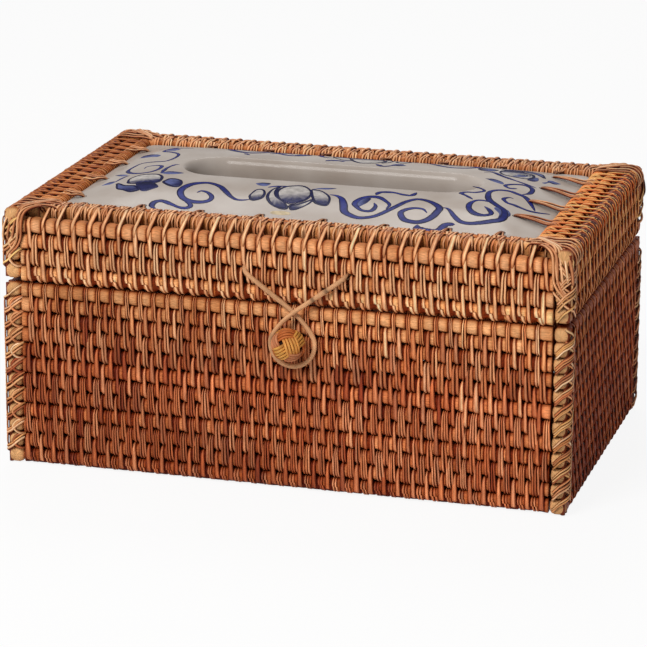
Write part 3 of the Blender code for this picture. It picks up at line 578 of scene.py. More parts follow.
# Each family of strands from the top down: strands in a bunch, width of the bunch, taper, drift, light
LID_BUNCHES = [
    (2, 3, 0.3, 1.7, 1), (2, 3.2, 0.2, -1.5, 1), (1, 2.1, 0, 0, 1.04), (1, 2.1, -0.35, 1.1, 1.02),
    (2, 2.7, 0.4, 0.6, 0.9), (1, 2.1, 0.5, 1.3, 1), (1, 2, 0, 3, 1.1),
]
BODY_BUNCHES = [
    (2, 1.8, 0.3, 0.8, 1.06), (1, 2.2, 0.5, 0.6, 1.06), (2, 2.8, 0.4, 0.8, 0.96), (2, 3.2, 0.3, 0.9, 0.8),
    (1, 2.3, 1, 0.4, 1.1), (1, 2, 0.6, 0.5, 1.08), (3, 3.5, 0.5, 0.7, 0.96), (1, 1.9, 0.9, 0.5, 0.94),
    (2, 2.6, 0.5, 0.9, 0.98), (3, 3.4, 0.3, 0.8, 0.94), (1, 2.3, 0.8, 0.6, 1.05), (2, 2.5, 0, 1.4, 0.96),
]
SIDE_LID_BUNCHES = [
    (2, 2.8, 0, 1, 1), (2, 3, 0, 0.8, 1), (1, 1.7, 0, 0.5, 1.05), (1, 1.6, 0, 0.8, 1.05),
    (2, 1.9, 0.3, 0.8, 1), (1, 1.6, 0.2, 0.8, 1), (1, 1.6, 0, 1.6, 1),
]
SIDE_BODY_BUNCHES = [
    (1, 1.6, 0.2, 0.8, 1), (2, 2, 0.3, 0.8, 0.96), (1, 1.6, 0.5, 0.6, 1.05), (1, 1.8, 0.2, 0.9, 0.92),
]
THICKNESS = 0.66
LID_STYLE = {
    "pitch": 6.8, "thickness": THICKNESS, "edge_wraps": 2, "joined": {1: (2, 0.5)}, "bunches": LID_BUNCHES,
    "strands": LID_STRANDS, "blocks": LID_BLOCKS, "rod_light": {3: 1.1, 5: 1.08}, "cane": CANE,
    "slot": "rattan_wall", "step": 1, "sides": 14,
}
BODY_STYLE = dict(LID_STYLE, pitch=6.15, edge_wraps=1, joined={}, bunches=BODY_BUNCHES, strands=BODY_STRANDS,
                  blocks=BODY_BLOCKS, rod_light={0: 0.95, 2: 1.1, 5: 1.15, 8: 1.3})
SIDE_PITCH = 7.3
# Painted shade on the side walls: factors that make their blocks and strands darker and redder than on the
# front and back, the right side's blocks most
SIDE_BLOCK_SHADE = {"right": (0.36, 0.15, 0.06), "left": (0.6, 0.38, 0.2)}
SIDE_STRAND_SHADE = {"right": (1, 0.82, 0.64), "left": (0.8, 0.57, 0.36)}
# Painted light and shade on the side rims and lid walls: the right rim rods and the wraps on them lifted well
# out of the side's painted shade, its lid walls lighter towards the top, and the left ones darker
RIM_LIGHT = {"right": np.array([2.7, 4, 5]), "left": np.array([0.85, 0.8, 0.72])}
RIM_WRAP_LIGHT = np.array([1.8, 1.55, 1.45])
SIDE_LID_LIGHT = {"right": (RIM_WRAP_LIGHT, RIM_WRAP_LIGHT, RIM_WRAP_LIGHT, 1.4, 1.2, 1.1, 1), "left": (0.85,) * 7}
SIDE_BROAD = {"right": 1, "left": 1.4}
TWIST_PITCH = 5.1
TWIST_MARGIN = 6


def side_style(style, side, bunches):
    """A style of the front and back as it is on a side wall: plainer, and darker and redder by painted shade.
    """
    return dict(style, pitch=SIDE_PITCH, bunches=bunches, rod_light={}, joined={}, cane=SIDE_CANE,
                strands=style["strands"] * SIDE_STRAND_SHADE[side], blocks=style["blocks"] * SIDE_BLOCK_SHADE[side])


def weave_side(side, seed):
    """The two mats of one side, and the twisted strands on the outer rim rod of the front and back."""
    cross = side in ("front", "back")
    reach = (HALF_DEPTH if cross else HALF_WIDTH) - ROD
    half, margin, dome = (INNER_WIDTH, FRONT_MARGIN, 0) if cross else (HALF_DEPTH, SIDE_MARGIN, SIDE_DOME)
    walls = wall_rods(BODY_ROWS, 0, reach, half, margin, dome)
    walls[-1]["pinched"] = FOOT_PINCHED
    lid_walls = wall_rods(LID_ROWS[side], LID_FLOOR, reach, half, margin, dome)
    lid_walls[0]["open"] = -1
    lid_walls[1]["tint"] = lid_walls[3]["tint"] = PALE_ROW
    if side == "back":
        walls[0]["necks"] = lid_walls[-1]["necks"] = TIE_NECKS
    if side == "front":
        lid_walls[2]["necks"] = LOOP_NECKS
    style = dict(BODY_STYLE, colour_of=body_shade(seed))
    lid_style = dict(LID_STYLE, colour_of=lid_shade(seed + 20))
    if cross:
        # Rims of the front and back: less painted shade beside their strands
        rims = rim_rods(INNER_DEPTH, INNER_WIDTH, {"strand_edge_shade": 0.35})
    else:
        rims = rim_rods(INNER_WIDTH, INNER_DEPTH, {"tint": RIM_LIGHT[side]})
        style = side_style(style, side, SIDE_BODY_BUNCHES)
        bunches = [(count, width * SIDE_BROAD[side], taper, drift, light * glow)
                   for (count, width, taper, drift, light), glow in zip(SIDE_LID_BUNCHES, SIDE_LID_LIGHT[side])]
        lid_style = side_style(lid_style, side, bunches)
    weave("box_" + side, side, "box", walls, ["box_" + side + "_panel"], style)
    nodes = ["lid_" + side + "_panel", "lid_rim_" + side]
    weave("lid_" + side, side, "lid", rims + lid_walls, nodes, lid_style)
    if cross:
        twists = Batch()
        for lean, lift in ((2.4, 0.3), (-2.2, 0.45)):
            places = family(half - TWIST_MARGIN, TWIST_PITCH, rng.uniform(0, 1), 0.8)
            n = len(places)
            wraps(twists, side, rims[1], rims[1], places, np.zeros(n), rng.uniform(1.1, 1.6, n),
                  rng.normal(lean, 1, n), THICKNESS, pick(LID_STRANDS, n) * 0.98, lift, 0.3)
        twists.build("lid_" + side + "_twists", CANE, "lid", (), "cane_lacing")


for side, seed in (("front", 3), ("right", 5), ("back", 7), ("left", 9)):
    weave_side(side, seed)

# Free strands


def smooth(points, step):
    """Rows about a step apart on a smooth curve through the given ones, each of which starts with a place."""
    points = np.asarray(points, float)
    padded = np.concatenate([2 * points[:1] - points[1:2], points, 2 * points[-1:] - points[-2:-1]])
    rows = []
    for first, second, third, fourth in zip(padded, padded[1:], padded[2:], padded[3:]):
        count = max(1, round(np.linalg.norm((third - second)[:3]) / step))
        t = (np.arange(count) / count)[:, None]
        bend = (2 * first - 5 * second + 4 * third - fourth) * t ** 2
        twist = (3 * second - 3 * third + fourth - first) * t ** 3
        rows.append((2 * second + (third - first) * t + bend + twist) / 2)
    rows.append(points[-1:])
    return np.concatenate(rows)


def ribbon(batch, path, normals, width, thickness, tint, section=STRAND, edges=STRAND_SHADE):
    """A flat strand along a path, lying on the surface that the normals stand on."""
    across = unit(np.cross(unit(np.gradient(path, axis=0)), normals))
    side = section[:, 0] * np.broadcast_to(width, len(path))[:, None]
    rise = (section[:, 1] * thickness)[:, None]
    points = path[:, None] + across[:, None] * side[..., None] + unit(normals)[:, None] * rise
    grains = together(run_along(path)[:, None], side, rng.uniform(0, 50))
    batch.tubes(points[None], tint[..., None, :] * warm(edges), grains[None])


def cord(batch, path, radius, tint, sides=12):
    """A round cane along a path."""
    tangent = unit(np.gradient(path, axis=0))
    first = [unit(np.cross(tangent[0], [0.3, 0.2, 0.9]))]
    for direction in tangent:
        first.append(unit(first[-1] - direction * (first[-1] @ direction)))
    first = np.array(first[1:])[:, None]
    second = np.cross(tangent[:, None], first)
    theta = np.linspace(0, 2 * np.pi, sides, endpoint=False)
    round_it = first * np.cos(theta)[:, None] + second * np.sin(theta)[:, None]
    points = path[:, None] + round_it * np.broadcast_to(radius, len(path))[:, None, None]
    grains = together(run_along(path)[:, None], theta * 1.2, rng.uniform(0, 50))
    batch.tubes(points[None], tint[..., None, :], grains[None])


# Corner lacing

CORNER = 2.6
LACES = {
    # Along the wrap from the corner's edge, height in courses, lift off the rods
    "down": [(-7.6, 0.5, -2.2), (-6.4, 0.42, -0.4), (-4, 0.15, 0.25), (-1.4, -0.2, 0.35), (1.2, -0.45, 0.35),
     (4.2, -0.72, 0.15), (6.8, -0.95, -0.1), (8.2, -1.05, -2)],
    "up": [(-5.9, -0.5, -2.2), (-5.2, -0.46, -0.3), (-3.7, -0.22, 0.3), (-1.5, 0.12, 0.75), (1, 0.42, 0.85),
     (4, 0.7, 0.4), (6.8, 0.92, -0.1), (8.2, 1, -2)],
    "fall": [(-1.6, 0.55, -2.2), (-1, 0.5, 0), (0.8, 0.3, 0.4), (3.2, -0.1, 0.25), (6, -0.5, 0),
     (7.6, -0.7, -2)],
    "hug": [(-7.3, 0.5, -2.2), (-6, 0.48, -0.4), (-3.9, 0.33, 0.2), (-2.5, 0, 0.35), (-3.9, -0.33, 0.2),
     (-6, -0.48, -0.4), (-7.3, -0.5, -2.2)],
    "edge": [(1.4, 0.5, -2.2), (1.2, 0.44, -0.4), (0.5, 0.2, 0.3), (0.2, -0.5, 0.35), (0.5, -1.2, 0.3),
     (1.2, -1.44, -0.4), (1.4, -1.5, -2.2)],
}

# The dark canes behind the lacing, a painted shade that fills the gaps between its strands: how far in from
# the walls' faces, and radius
POSTS = ((2.7, 5, 2.3), (1.5, 1.5, 1))
POST_SHADE_TINT = srgb(120, 48, 18)


def lace(batch, side_x, side_y, kind, centre, pitch, shift, width, tint):
    """One strand round an upright corner, level with a course."""
    rows = smooth([(along, centre + (high + shift) * pitch, lift) for along, high, lift in LACES[kind]], 0.7)
    along, up, lift = rows.T
    arc = CORNER * np.pi / 2
    angle = np.clip((along + arc / 2) / CORNER, 0, np.pi / 2)
    normals = together(side_x * np.sin(angle), side_y * np.cos(angle), 0)
    x = side_x * (HALF_WIDTH - CORNER + np.minimum(along + arc / 2, 0))
    y = side_y * (HALF_DEPTH - CORNER - np.maximum(along - arc / 2, 0))
    ribbon(batch, together(x, y, up) + normals * (CORNER + lift)[:, None], normals, width, 0.6, tint)


def lacing(name, body, side_x, side_y, centres, pitch, low, high, kinds, palette):
    """The strands of one corner, none of them past the ends of its wall, and the canes of painted shade
    behind them.
    """
    batch = Batch()
    for inset_x, inset_y, radius in POSTS:
        x, y = side_x * (HALF_WIDTH - inset_x), side_y * (HALF_DEPTH - inset_y)
        cord(batch, together(x, y, np.linspace(low + 0.2, high - 0.6, 30)), radius, POST_SHADE_TINT)
    for centre in centres:
        for kind, shifts, width in kinds:
            reach = [row[1] for row in LACES[kind]]
            for shift in shifts:
                top, bottom = (centre + (end + shift) * pitch for end in (max(reach), min(reach)))
                if top > high or bottom < low:
                    continue
                tint = pick(palette, 1)[0]
                lace(batch, side_x, side_y, kind, centre, pitch, shift + rng.normal(0, 0.03),
                     width * rng.uniform(0.85, 1.15), tint)
    batch.build(name.replace("lacing", "corner"), CANE, body, [name], "cane_lacing")


# Kind of lace, its shifts in courses and its width
LEFT_KINDS = [("hug", (0,), 1.3), ("down", (0, -0.22), 1.25), ("edge", (0,), 1.5)]
RIGHT_KINDS = [("fall", (0, -0.24), 1.25), ("up", (0, 0.17, 0.34), 1.1)]
LID_KINDS = [("down", (0, -0.22), 1.3), ("edge", (0,), 1.4)]
GOLDEN = srgb((224, 164, 92), (206, 140, 76), (214, 156, 98), (190, 122, 70))
BODY_CENTRES = ROD + np.arange(BODY_COURSES) * BODY_PITCH
LID_CENTRES = [LID_FLOOR + height for height, depth in reversed(LID_ROWS["front"])]

for face, end, side_x, side_y in CORNERS:
    corner = face + "_" + end
    kinds, lid_kinds = (RIGHT_KINDS, RIGHT_KINDS[1:]) if side_x * side_y < 0 else (LEFT_KINDS, LEFT_KINDS[:1])
    lacing("box_lacing_" + corner, "box", side_x, side_y, BODY_CENTRES, BODY_PITCH, 0.4, BODY_TOP - 0.8,
           kinds, np.concatenate([BODY_STRANDS, GOLDEN[1:]]))
    low = LID_FLOOR + (0.8 if face == "front" else 7.7)
    lacing("lid_lacing_" + corner, "lid", side_x, side_y, LID_CENTRES, LID_PITCH, low, LID_TOP - 1,
           LID_KINDS + lid_kinds, np.concatenate([GOLDEN, LID_STRANDS]))


# Strands of a fan that cross the side rim: where each starts (x, y), and the y where it leaves the rim
FAN_STARTS = ((104.8, 60.4, 61), (103, 63.2, 65.2), (101.8, 66.4, 69.4), (104, 69.8, 73.2))


def fan_routes():
    """Points and normals of the strands of a rim fan, with their heights from the lid's top."""
    for start_x, start_y, end_y in FAN_STARTS:
        drop = 1.2 * rng.uniform(0.6, 1.4)
        run = end_y - start_y
        yield [(start_x - 2, start_y - 0.2, -2.8, 0, 0, 1), (start_x, start_y, -0.4, 0, 0, 1),
               (start_x + 0.35 * (119.2 - start_x), start_y + 0.3 * run, 0.3, 0, 0, 1),
               (113.5, start_y + 0.7 * run, 0.05, 0, 0, 1), (119.4, end_y - 0.2, 0.25, 0.2, 0, 1),
               (122.5, end_y + 0.3 * drop, -1.5, 0.8, 0, 0.65), (123.75, end_y + 0.6 * drop, -4, 1, 0, 0.1),
               (123.4, end_y + 0.9 * drop, -6.6, 1, 0, -0.1), (121.6, end_y + drop, -8.2, 1, 0, -0.1)]
    for shift in (0, 1.6):
        yield [(107.5 + shift, 70.6, -2.8, 0, 0, 1), (109 + shift, 72.4, 0, 0, 0, 1),
               (112.2 + shift, 75.4, -0.1, 0, 0.2, 1), (114.6 + shift, 77.6, -1.5, 0.1, 0.8, 0.7),
               (115.6 + shift, 78.75, -4.4, 0, 1, 0.2), (115.9 + shift, 78.9, -8.5, 0, 1, 0),
               (116.1 + shift, 78.9, -12.5, 0, 1, 0), (117.6 + shift, 78.85, -16, 0.1, 1, 0),
               (120.6 + shift * 0.7, 78.7, -19.4, 0.4, 1, 0), (123.2, 77 - 0.5 * shift, -22.4, 1, 0.7, 0),
               (123.7, 74.6 - shift, -24.6, 1, 0, 0), (122, 73.2 - shift, -25.8, 1, 0, 0)]
    for n in range(4):
        yield [(104, 59.8 + 0.8 * n, -2.3, 0, 0, 1), (106, 61.6 + 0.9 * n, 0.4, 0, 0, 1),
               (112, 66.8 + 1.3 * n, 0.55, 0, 0.1, 1), (117.8 - 0.7 * n, 72.4 + 1.2 * n, 0, 0.2, 0.3, 1),
               (121.3 - 1.7 * n, 76.6 + 0.4 * n, -2.8, 0.5, 0.8, 0.7),
               (122.9 - 2.1 * n, 78.6, -6.1, 0.4, 1, 0.3), (123.7 - 2.2 * n, 79, -9.6, 0.3, 1, 0),
               (123.9 - 2.1 * n, 78.6, -12.8, 0.3, 1, -0.1), (123.2 - 2 * n, 76.6, -14.8, 0.3, 1, -0.2)]


def rim_fan(name, side_x, side_y):
    """Strands that fan out from the plate's corner over the rim, down the side wall and round the corner."""
    batch = Batch()
    routes = list(fan_routes())
    for route in routes:
        rows = smooth(route, 0.8) * (side_x, side_y, 1, side_x, side_y, 1)
        path = rows[:, :3] + (1 if side_x < 0 else 0, 0, LID_TOP)
        ribbon(batch, path, rows[:, 3:], 1.45 * rng.uniform(0.9, 1.1), 0.75, pick(LID_STRANDS, 1)[0] * 1.05)
    batch.build(name, CANE, "lid", ["lid_rim_right" if side_x > 0 else "lid_rim_left"], "cane_lacing")


for face, end, side_x, side_y in CORNERS:
    rim_fan("lid_rim_fan_" + face + "_" + end, side_x, side_y)

# Ceramic plate

PLATE_WIDTH = 103.7
PLATE_DEPTH = 58.7
PLATE_UNDER = LID_TOP - 5.55
PLATE_EDGE = PLATE_UNDER + 3.6
PLATE_RISE = 7.2
PLATE_WALL = 3.6
SPINE = 50.0
SLOT = 18.0
LIP = 3.6
LIP_DROP = 7.0
LIP_TOP = PLATE_EDGE + PLATE_RISE
COLLAR_FOOT = LIP_TOP - 11.5
COLLAR_WALL = 2.8
CORNER_POWER = 40.0
LIP_SHARE = 0.32


def plate_height(x, y):
    """Height of the glazed face: flat at the border, crowned towards the slot's lip."""
    u = np.clip(np.abs(x) - SPINE, 0, None) / (PLATE_WIDTH - SPINE)
    v = np.abs(y) / PLATE_DEPTH
    share = (1 - (u ** 5 + v ** 5) ** 0.2) / (1 - LIP_SHARE)
    share = np.clip((share + np.sqrt(share ** 2 + 0.0036)) / 2, 0, 1)
    return PLATE_EDGE + PLATE_RISE * np.sin(np.pi / 2 * share)


def plate_spokes():
    """Spokes of the plate: where each leaves the slot's middle line, its way, and its end at the border."""
    corner = math.atan2(PLATE_DEPTH, PLATE_WIDTH - SPINE)
    quarter = np.concatenate([np.linspace(0, corner, 38)[:-1], np.linspace(corner, np.pi / 2, 40)])
    run = np.linspace(SPINE, -SPINE, 60)[1:-1]
    starts = np.concatenate([np.full(len(quarter), SPINE), run, np.full(len(quarter), -SPINE)])
    angles = np.concatenate([quarter, np.full(len(run), np.pi / 2), np.pi - quarter[::-1]])
    starts = np.concatenate([starts, starts[::-1][1:-1]])
    angles = np.concatenate([angles, -angles[::-1][1:-1]])
    way = together(np.cos(angles), np.sin(angles))
    with np.errstate(divide="ignore"):
        to_end = (np.copysign(PLATE_WIDTH, way[:, 0]) - starts) / way[:, 0]
        reach = together(to_end, PLATE_DEPTH / np.abs(way[:, 1]))
    reach[~np.isfinite(reach) | (reach < 0)] = 1e9
    middle = together(starts, 0.0)
    border = middle + way * reach.min(1)[:, None]
    size = ((np.abs(border) / (PLATE_WIDTH, PLATE_DEPTH)) ** CORNER_POWER).sum(1) ** (1 / CORNER_POWER)
    return middle, way, border / size[:, None]


def ceramic_plate():
    """The plate: crowned face, rolled lip, collar in the slot, and a plain back."""
    middle, way, border = plate_spokes()

    def ring(share, inset=0.0, height=None, lower=0.0):
        """A ring at a share of the way from the border to the lip, at a height or below the glazed face."""
        spot = border * (1 - share) + (middle + way * (SLOT - inset)) * share
        return together(*spot.T, plate_height(*spot.T) - lower if height is None else height)

    rings = [ring(0, 0, PLATE_UNDER), ring(0, 0, PLATE_EDGE - 0.5)]
    rings += [ring(0.012 * (1 - math.cos(a)), 0, PLATE_EDGE - 0.5 + 0.5 * math.sin(a)) for a in (0.5, 1, 1.4)]
    rings += [ring(share) for share in np.linspace(0.035, 0.985, 48)]
    for angle in np.radians(np.arange(0, 91, 7.5)):
        rings.append(ring(1, LIP * math.sin(angle), LIP_TOP - LIP_DROP * (1 - math.cos(angle))))
    rings += [ring(1, LIP, height) for height in np.linspace(LIP_TOP - LIP_DROP - 1, COLLAR_FOOT + 0.6, 4)]
    for inset, height in ((LIP - 0.5, COLLAR_FOOT), (LIP - COLLAR_WALL + 0.5, COLLAR_FOOT),
                          (LIP - COLLAR_WALL, COLLAR_FOOT + 0.6), (LIP - COLLAR_WALL, LIP_TOP - PLATE_WALL)):
        rings.append(ring(1, inset, height))
    rings += [ring(share, lower=PLATE_WALL) for share in np.linspace(0.9, 0.18, 10)]
    rings += [ring(0.1, 0, PLATE_UNDER)]
    batch = Batch()
    index = batch.add(np.array(rings), srgb(190, 184, 178), np.zeros(3))
    ahead = np.roll(index, -1, 0)
    quads = np.stack([np.roll(index, -1, 1), np.roll(ahead, -1, 1), ahead, index], -1)
    batch.quads.append(quads.reshape(-1, 4))
    batch.build("ceramic_plate_glazed", GLAZE, "lid", ["ceramic_plate"], "glazed_plate")


ceramic_plate()

# Painting under the glaze

INK = srgb(30, 32, 80)
DEEP = srgb(14, 14, 44)
WASH = srgb(84, 92, 140)
PALE_WASH = srgb(182, 176, 172)
STAIN = srgb(188, 170, 138)
BRUSH = 2.3
FLAT_STROKE = np.array([(-0.5, -0.03), (-0.4, 0.05), (-0.2, 0.06), (0.2, 0.06), (0.4, 0.05), (0.5, -0.03)])
STROKE_SHADE = np.array([0.6, 0.7, 1.45, 1.45, 0.7, 0.6])

# Rings of a filled petal from its middle to its edge and back underneath: share of its size, height
WASH_RINGS = ((0.04, 0.05), (0.3, 0.05), (0.5, 0.05), (0.7, 0.05), (0.88, 0.045), (1, -0.05), (0.5, -0.06),
              (0.04, -0.06))


def on_plate(xy, lift=0.0):
    """Places and normals on the glazed face."""
    x, y = xy.T
    e = 0.2
    slope_x = plate_height(x - e, y) - plate_height(x + e, y)
    slope_y = plate_height(x, y - e) - plate_height(x, y + e)
    normal = unit(together(slope_x, slope_y, 2 * e))
    return together(x, y, plate_height(x, y)) + normal * lift, normal


def flat_curve(xy, step):
    """A smooth curve through places on the plate."""
    return smooth([(x, y, 0) for x, y in xy], step)[:, :2]


def stroke(batch, xy, width, tint=INK, soft=0.45):
    """A brush stroke that starts and ends thin."""
    path = flat_curve(xy, 0.7)
    s = np.linspace(0, 1, len(path))
    taper = np.clip(np.minimum(s / 0.12, (1 - s) / 0.18), 0, 1) ** soft
    swell = 1 + 0.18 * np.sin(s * 9 + rng.uniform(0, 6)) + 0.1 * np.sin(s * 23 + rng.uniform(0, 6))
    share = (0.5 + 0.5 * np.sin(s * 7 + rng.uniform(0, 6)))[:, None] * 0.3
    width = BRUSH * width * swell * np.maximum(taper, 0.12)
    ribbon(batch, *on_plate(path), width, 1, tint * (1 - share) + DEEP * share, FLAT_STROKE, STROKE_SHADE)


def wash(batch, xy, light, dark, toward):
    """A filled petal or leaf, shaded from light to dark towards a direction."""
    outline = flat_curve([*xy, xy[0]], 0.8)[:-1]
    middle = outline.mean(0)
    toward = unit(np.array(toward, float))
    far = ((outline - middle) @ toward).max()
    streaks = 0.16 * np.sin(np.linspace(0, 2 * np.pi * 11, len(outline))) + rng.normal(0, 0.06, len(outline))
    rings, colours = [], []
    for share, rise in WASH_RINGS:
        spot = middle + (outline - middle) * share
        rings.append(on_plate(spot, rise)[0])
        mix = np.clip(0.16 + 1.5 * ((spot - middle) @ toward) / far + streaks * share, 0, 1)[:, None]
        colours.append(light * (1 - mix) + dark * mix)
    batch.tubes(np.array([rings]), np.array([colours]), np.zeros(3))


VINES = [
    # Width of the brush and the stroke's course
    (1.15, [(-62, -56.5), (-64.5, -54.5), (-64.5, -51), (-61.5, -49.5), (-57, -51.5), (-53, -53.5),
     (-50, -54), (-48, -52.5), (-49, -50), (-52, -48)]),
    (1.35, [(-49, -40), (-47.5, -38), (-44.5, -39), (-41.5, -42.5), (-41.5, -46), (-44.5, -48), (-49, -48),
     (-53, -46), (-55.5, -42.5), (-56.5, -38.5), (-55.5, -34.5), (-53, -31), (-48.5, -29), (-45, -29.5),
     (-41, -32), (-38, -35.5), (-33.5, -41), (-30, -43.5), (-27, -43.5), (-24.5, -42.5)]),
    (0.8, [(-83.5, -9), (-83.5, -4.5), (-79, -4), (-76, -6.5), (-76, -13), (-78.5, -17), (-83, -17.5),
     (-88, -14), (-91.5, -7.5), (-91.5, -0.5), (-89.5, 5.5), (-84, 5), (-78, 4), (-75.5, 9.5), (-76, 17),
     (-80.5, 23), (-87, 29.5), (-86.5, 35), (-80, 35), (-74.5, 33.5)]),
    (0.8, [(-72, -19.5), (-72.5, -10.5), (-71, -4), (-69, -3)]),
    (0.7, [(-90, -28.5), (-88.5, -22), (-86.5, -19.5)]),
    (0.7, [(-20.5, -29), (-17.5, -27), (-11.5, -25.5)]),
    (1.4, [(8, -32), (11, -32.5), (14, -35), (16.5, -40.5), (18.5, -46.5), (22, -49.5), (26, -51), (30, -50),
     (33, -48), (36, -44), (39, -39), (42, -33.5), (45.5, -30), (49, -30), (53.5, -32.5), (57.5, -37),
     (57.5, -41), (56.5, -45.5), (54.5, -49), (51, -51), (46, -50), (43.5, -47), (42.5, -43.5), (44.5, -40.5),
     (47.5, -39), (51, -39.5), (53.5, -42.5)]),
    (1.2, [(29, -37), (30.5, -40.5), (29.5, -44.5), (25.5, -44.5), (22, -41), (21, -38), (22.5, -33.5),
     (25.5, -31), (29.5, -31), (33.5, -34.5), (36, -38), (35.5, -42)]),
    (1.1, [(27.5, -28.5), (28.5, -24.5), (33.5, -23.5), (39, -25.5), (42.5, -25.5), (43.5, -21)]),
    (1.9, [(52, -53), (53, -56), (57, -57.2), (60.5, -57.2), (62.5, -54.5), (64, -51), (67.5, -50.5)]),
    (1.4, [(59, -36.5), (61.5, -37.5), (65.5, -43.5), (69, -47.5), (73, -48.5), (77.5, -47), (81.5, -44.5),
     (85, -41.5), (85.5, -36.5), (84, -31), (80.5, -27.5), (76, -22.5), (74, -17.5), (73, -10), (75.5, -5),
     (80, -3), (83.5, -4), (88, -6), (92.5, -14.5), (95, -20)]),
    (1, [(84, -12.5), (82, -12.5), (80.5, -16.5), (83, -20.5), (86, -21), (89, -22), (93, -22.5), (97, -20.5),
     (101, -17)]),
    (1.2, [(75.5, -31), (78, -33.5), (80, -37.5), (77.5, -40), (73.5, -39.5), (70, -35.5), (69, -30),
     (70.5, -25.5), (73.5, -24), (77.5, -25)]),
    (0.9, [(69, -24.5), (65.5, -20.5), (62, -16.5), (64, -14), (67.5, -13.5), (70.5, -9.5), (67.5, -5.5),
     (64, -3.5)]),
    (1, [(82, 3.5), (79, 1.5), (76.5, 4.5), (79.5, 9), (84, 11.5), (87.5, 9), (88, 2), (85.5, -3.5)]),
    (0.9, [(62.5, 23.5), (66.5, 24.5), (72, 19), (78, 15.5), (84, 13.5), (88.5, 12.5)]),
    (0.8, [(-48, 26.5), (-45, 24)]),
    (0.9, [(-9.5, 22.5), (-6, 26), (-1, 24)]),
    (0.9, [(13.5, 23.5), (18.5, 20.5), (25, 28.5)]),
    (0.9, [(-37.5, 31), (-31.5, 42), (-25.5, 51.5)]),
]

PETALS = [
    # Colours, the way that the wash darkens, and the outline
    (PALE_WASH, INK, (0.3, -1), [(-82.5, -33), (-84, -27), (-81.5, -22), (-77.5, -21), (-73, -21.5),
     (-70, -24.5), (-69, -29), (-70, -32.5), (-76, -34)]),
    (WASH, INK, (0.2, -1), [(-88, -32), (-85.5, -39), (-82, -41), (-78, -43), (-75, -40.5), (-78, -37),
     (-81, -36.5), (-84, -35.5)]),
    (INK, DEEP, (0, 1), [(-79, -34.5), (-76.5, -31.5), (-73, -31), (-70, -33), (-67, -37), (-69, -40),
     (-71.5, -42.5), (-74, -42), (-75.5, -39.5), (-78, -36.5)]),
    (WASH, INK, (1, -0.3), [(-67, -31), (-65.5, -27.5), (-63, -27), (-60, -28.5), (-58.5, -32.5),
     (-59, -35.5), (-61.5, -35.5), (-65, -33.5)]),
    (WASH, INK, (0, 1), [(-73, -19.5), (-71, -16.5), (-67.5, -15.5), (-62, -17), (-64, -19.5), (-68.5, -21)]),
    (WASH, INK, (0, 1), [(-96, -12.5), (-93, -13), (-87.5, -18), (-90.5, -18.5)]),
    (WASH, INK, (0, 1), [(-96, -31), (-93.5, -26.5), (-90, -27.5), (-91, -31.5)]),
    (WASH, INK, (0, 1), [(-96.5, 21.5), (-96, 27), (-91.5, 26.5), (-85, 19.5), (-85.5, 16), (-88.5, 18)]),
    (PALE_WASH, INK, (0.3, -1), [(-5.5, -44), (-7, -43.5), (-11.5, -40.5), (-14, -36.5), (-15, -31.5),
     (-13, -26.5), (-9.5, -24.5), (-6, -24), (-2, -28), (0, -33), (-0.5, -38.5), (-3, -42)]),
    (PALE_WASH, INK, (0.5, -1), [(-15.5, -27), (-17.5, -30.5), (-18, -36.5), (-16.5, -41.5), (-13, -46),
     (-8, -48.5), (-6.5, -47.5), (-9, -43), (-14, -38), (-16, -32)]),
    (PALE_WASH, INK, (-0.5, -1), [(-6, -45.5), (-4, -48.5), (-1, -46.5), (1.5, -42.5), (2.5, -38), (0, -41),
     (-3, -44)]),
    (PALE_WASH, INK, (0, -1), [(-1, -28), (3, -28.5), (7.5, -33), (9.5, -37.5), (9.5, -42.5), (6, -42),
     (3, -39)]),
    (PALE_WASH, INK, (0.4, -1), [(-25.5, -38), (-24.5, -33), (-22, -32), (-20, -35.5), (-20, -40.5),
     (-23, -43), (-25, -40.5)]),
    (WASH, DEEP, (0, 1), [(-27.5, -25), (-24.5, -23), (-20.5, -23.5), (-21.5, -27.5), (-25, -27.5)]),
    (WASH, INK, (0, 1), [(-1.5, -27), (2.5, -24.5), (9, -23.5), (6, -26)]),
    (WASH, INK, (1, 0), [(27, -33), (26, -38), (22.5, -43), (20.5, -39), (22, -33.5), (25, -31)]),
    (WASH, INK, (0, 1), [(65.5, 12), (69.5, 12.5), (74.5, 9), (75.5, 5), (70.5, 7.5)]),
    (WASH, DEEP, (0, 1), [(73.5, 22.5), (78, 28.5), (83, 31), (81.5, 24.5), (77, 21)]),
    (WASH, INK, (0, -1), [(82.5, 20), (82.5, 26), (85.5, 29.5), (87, 24.5), (85.5, 20.5)]),
    (WASH, INK, (0, 1), [(88.5, 23), (91.5, 29), (90, 22.5)]),
    (WASH, INK, (0.5, -1), [(81, -27), (86, -30), (88, -36), (84, -42), (83, -36), (79.5, -31)]),
]
OUTLINED = (0, 1, 3, 8, 9, 10, 11, 12)
PETALS_BEYOND = 20
VINES_BEYOND = 27


def turned(points, way, beyond):
    """The points as they are, or turned half round, and then none unless all lie beyond a depth."""
    points = [(way * x, way * y) for x, y in points]
    return points if way > 0 or min(y for x, y in points) > beyond else []


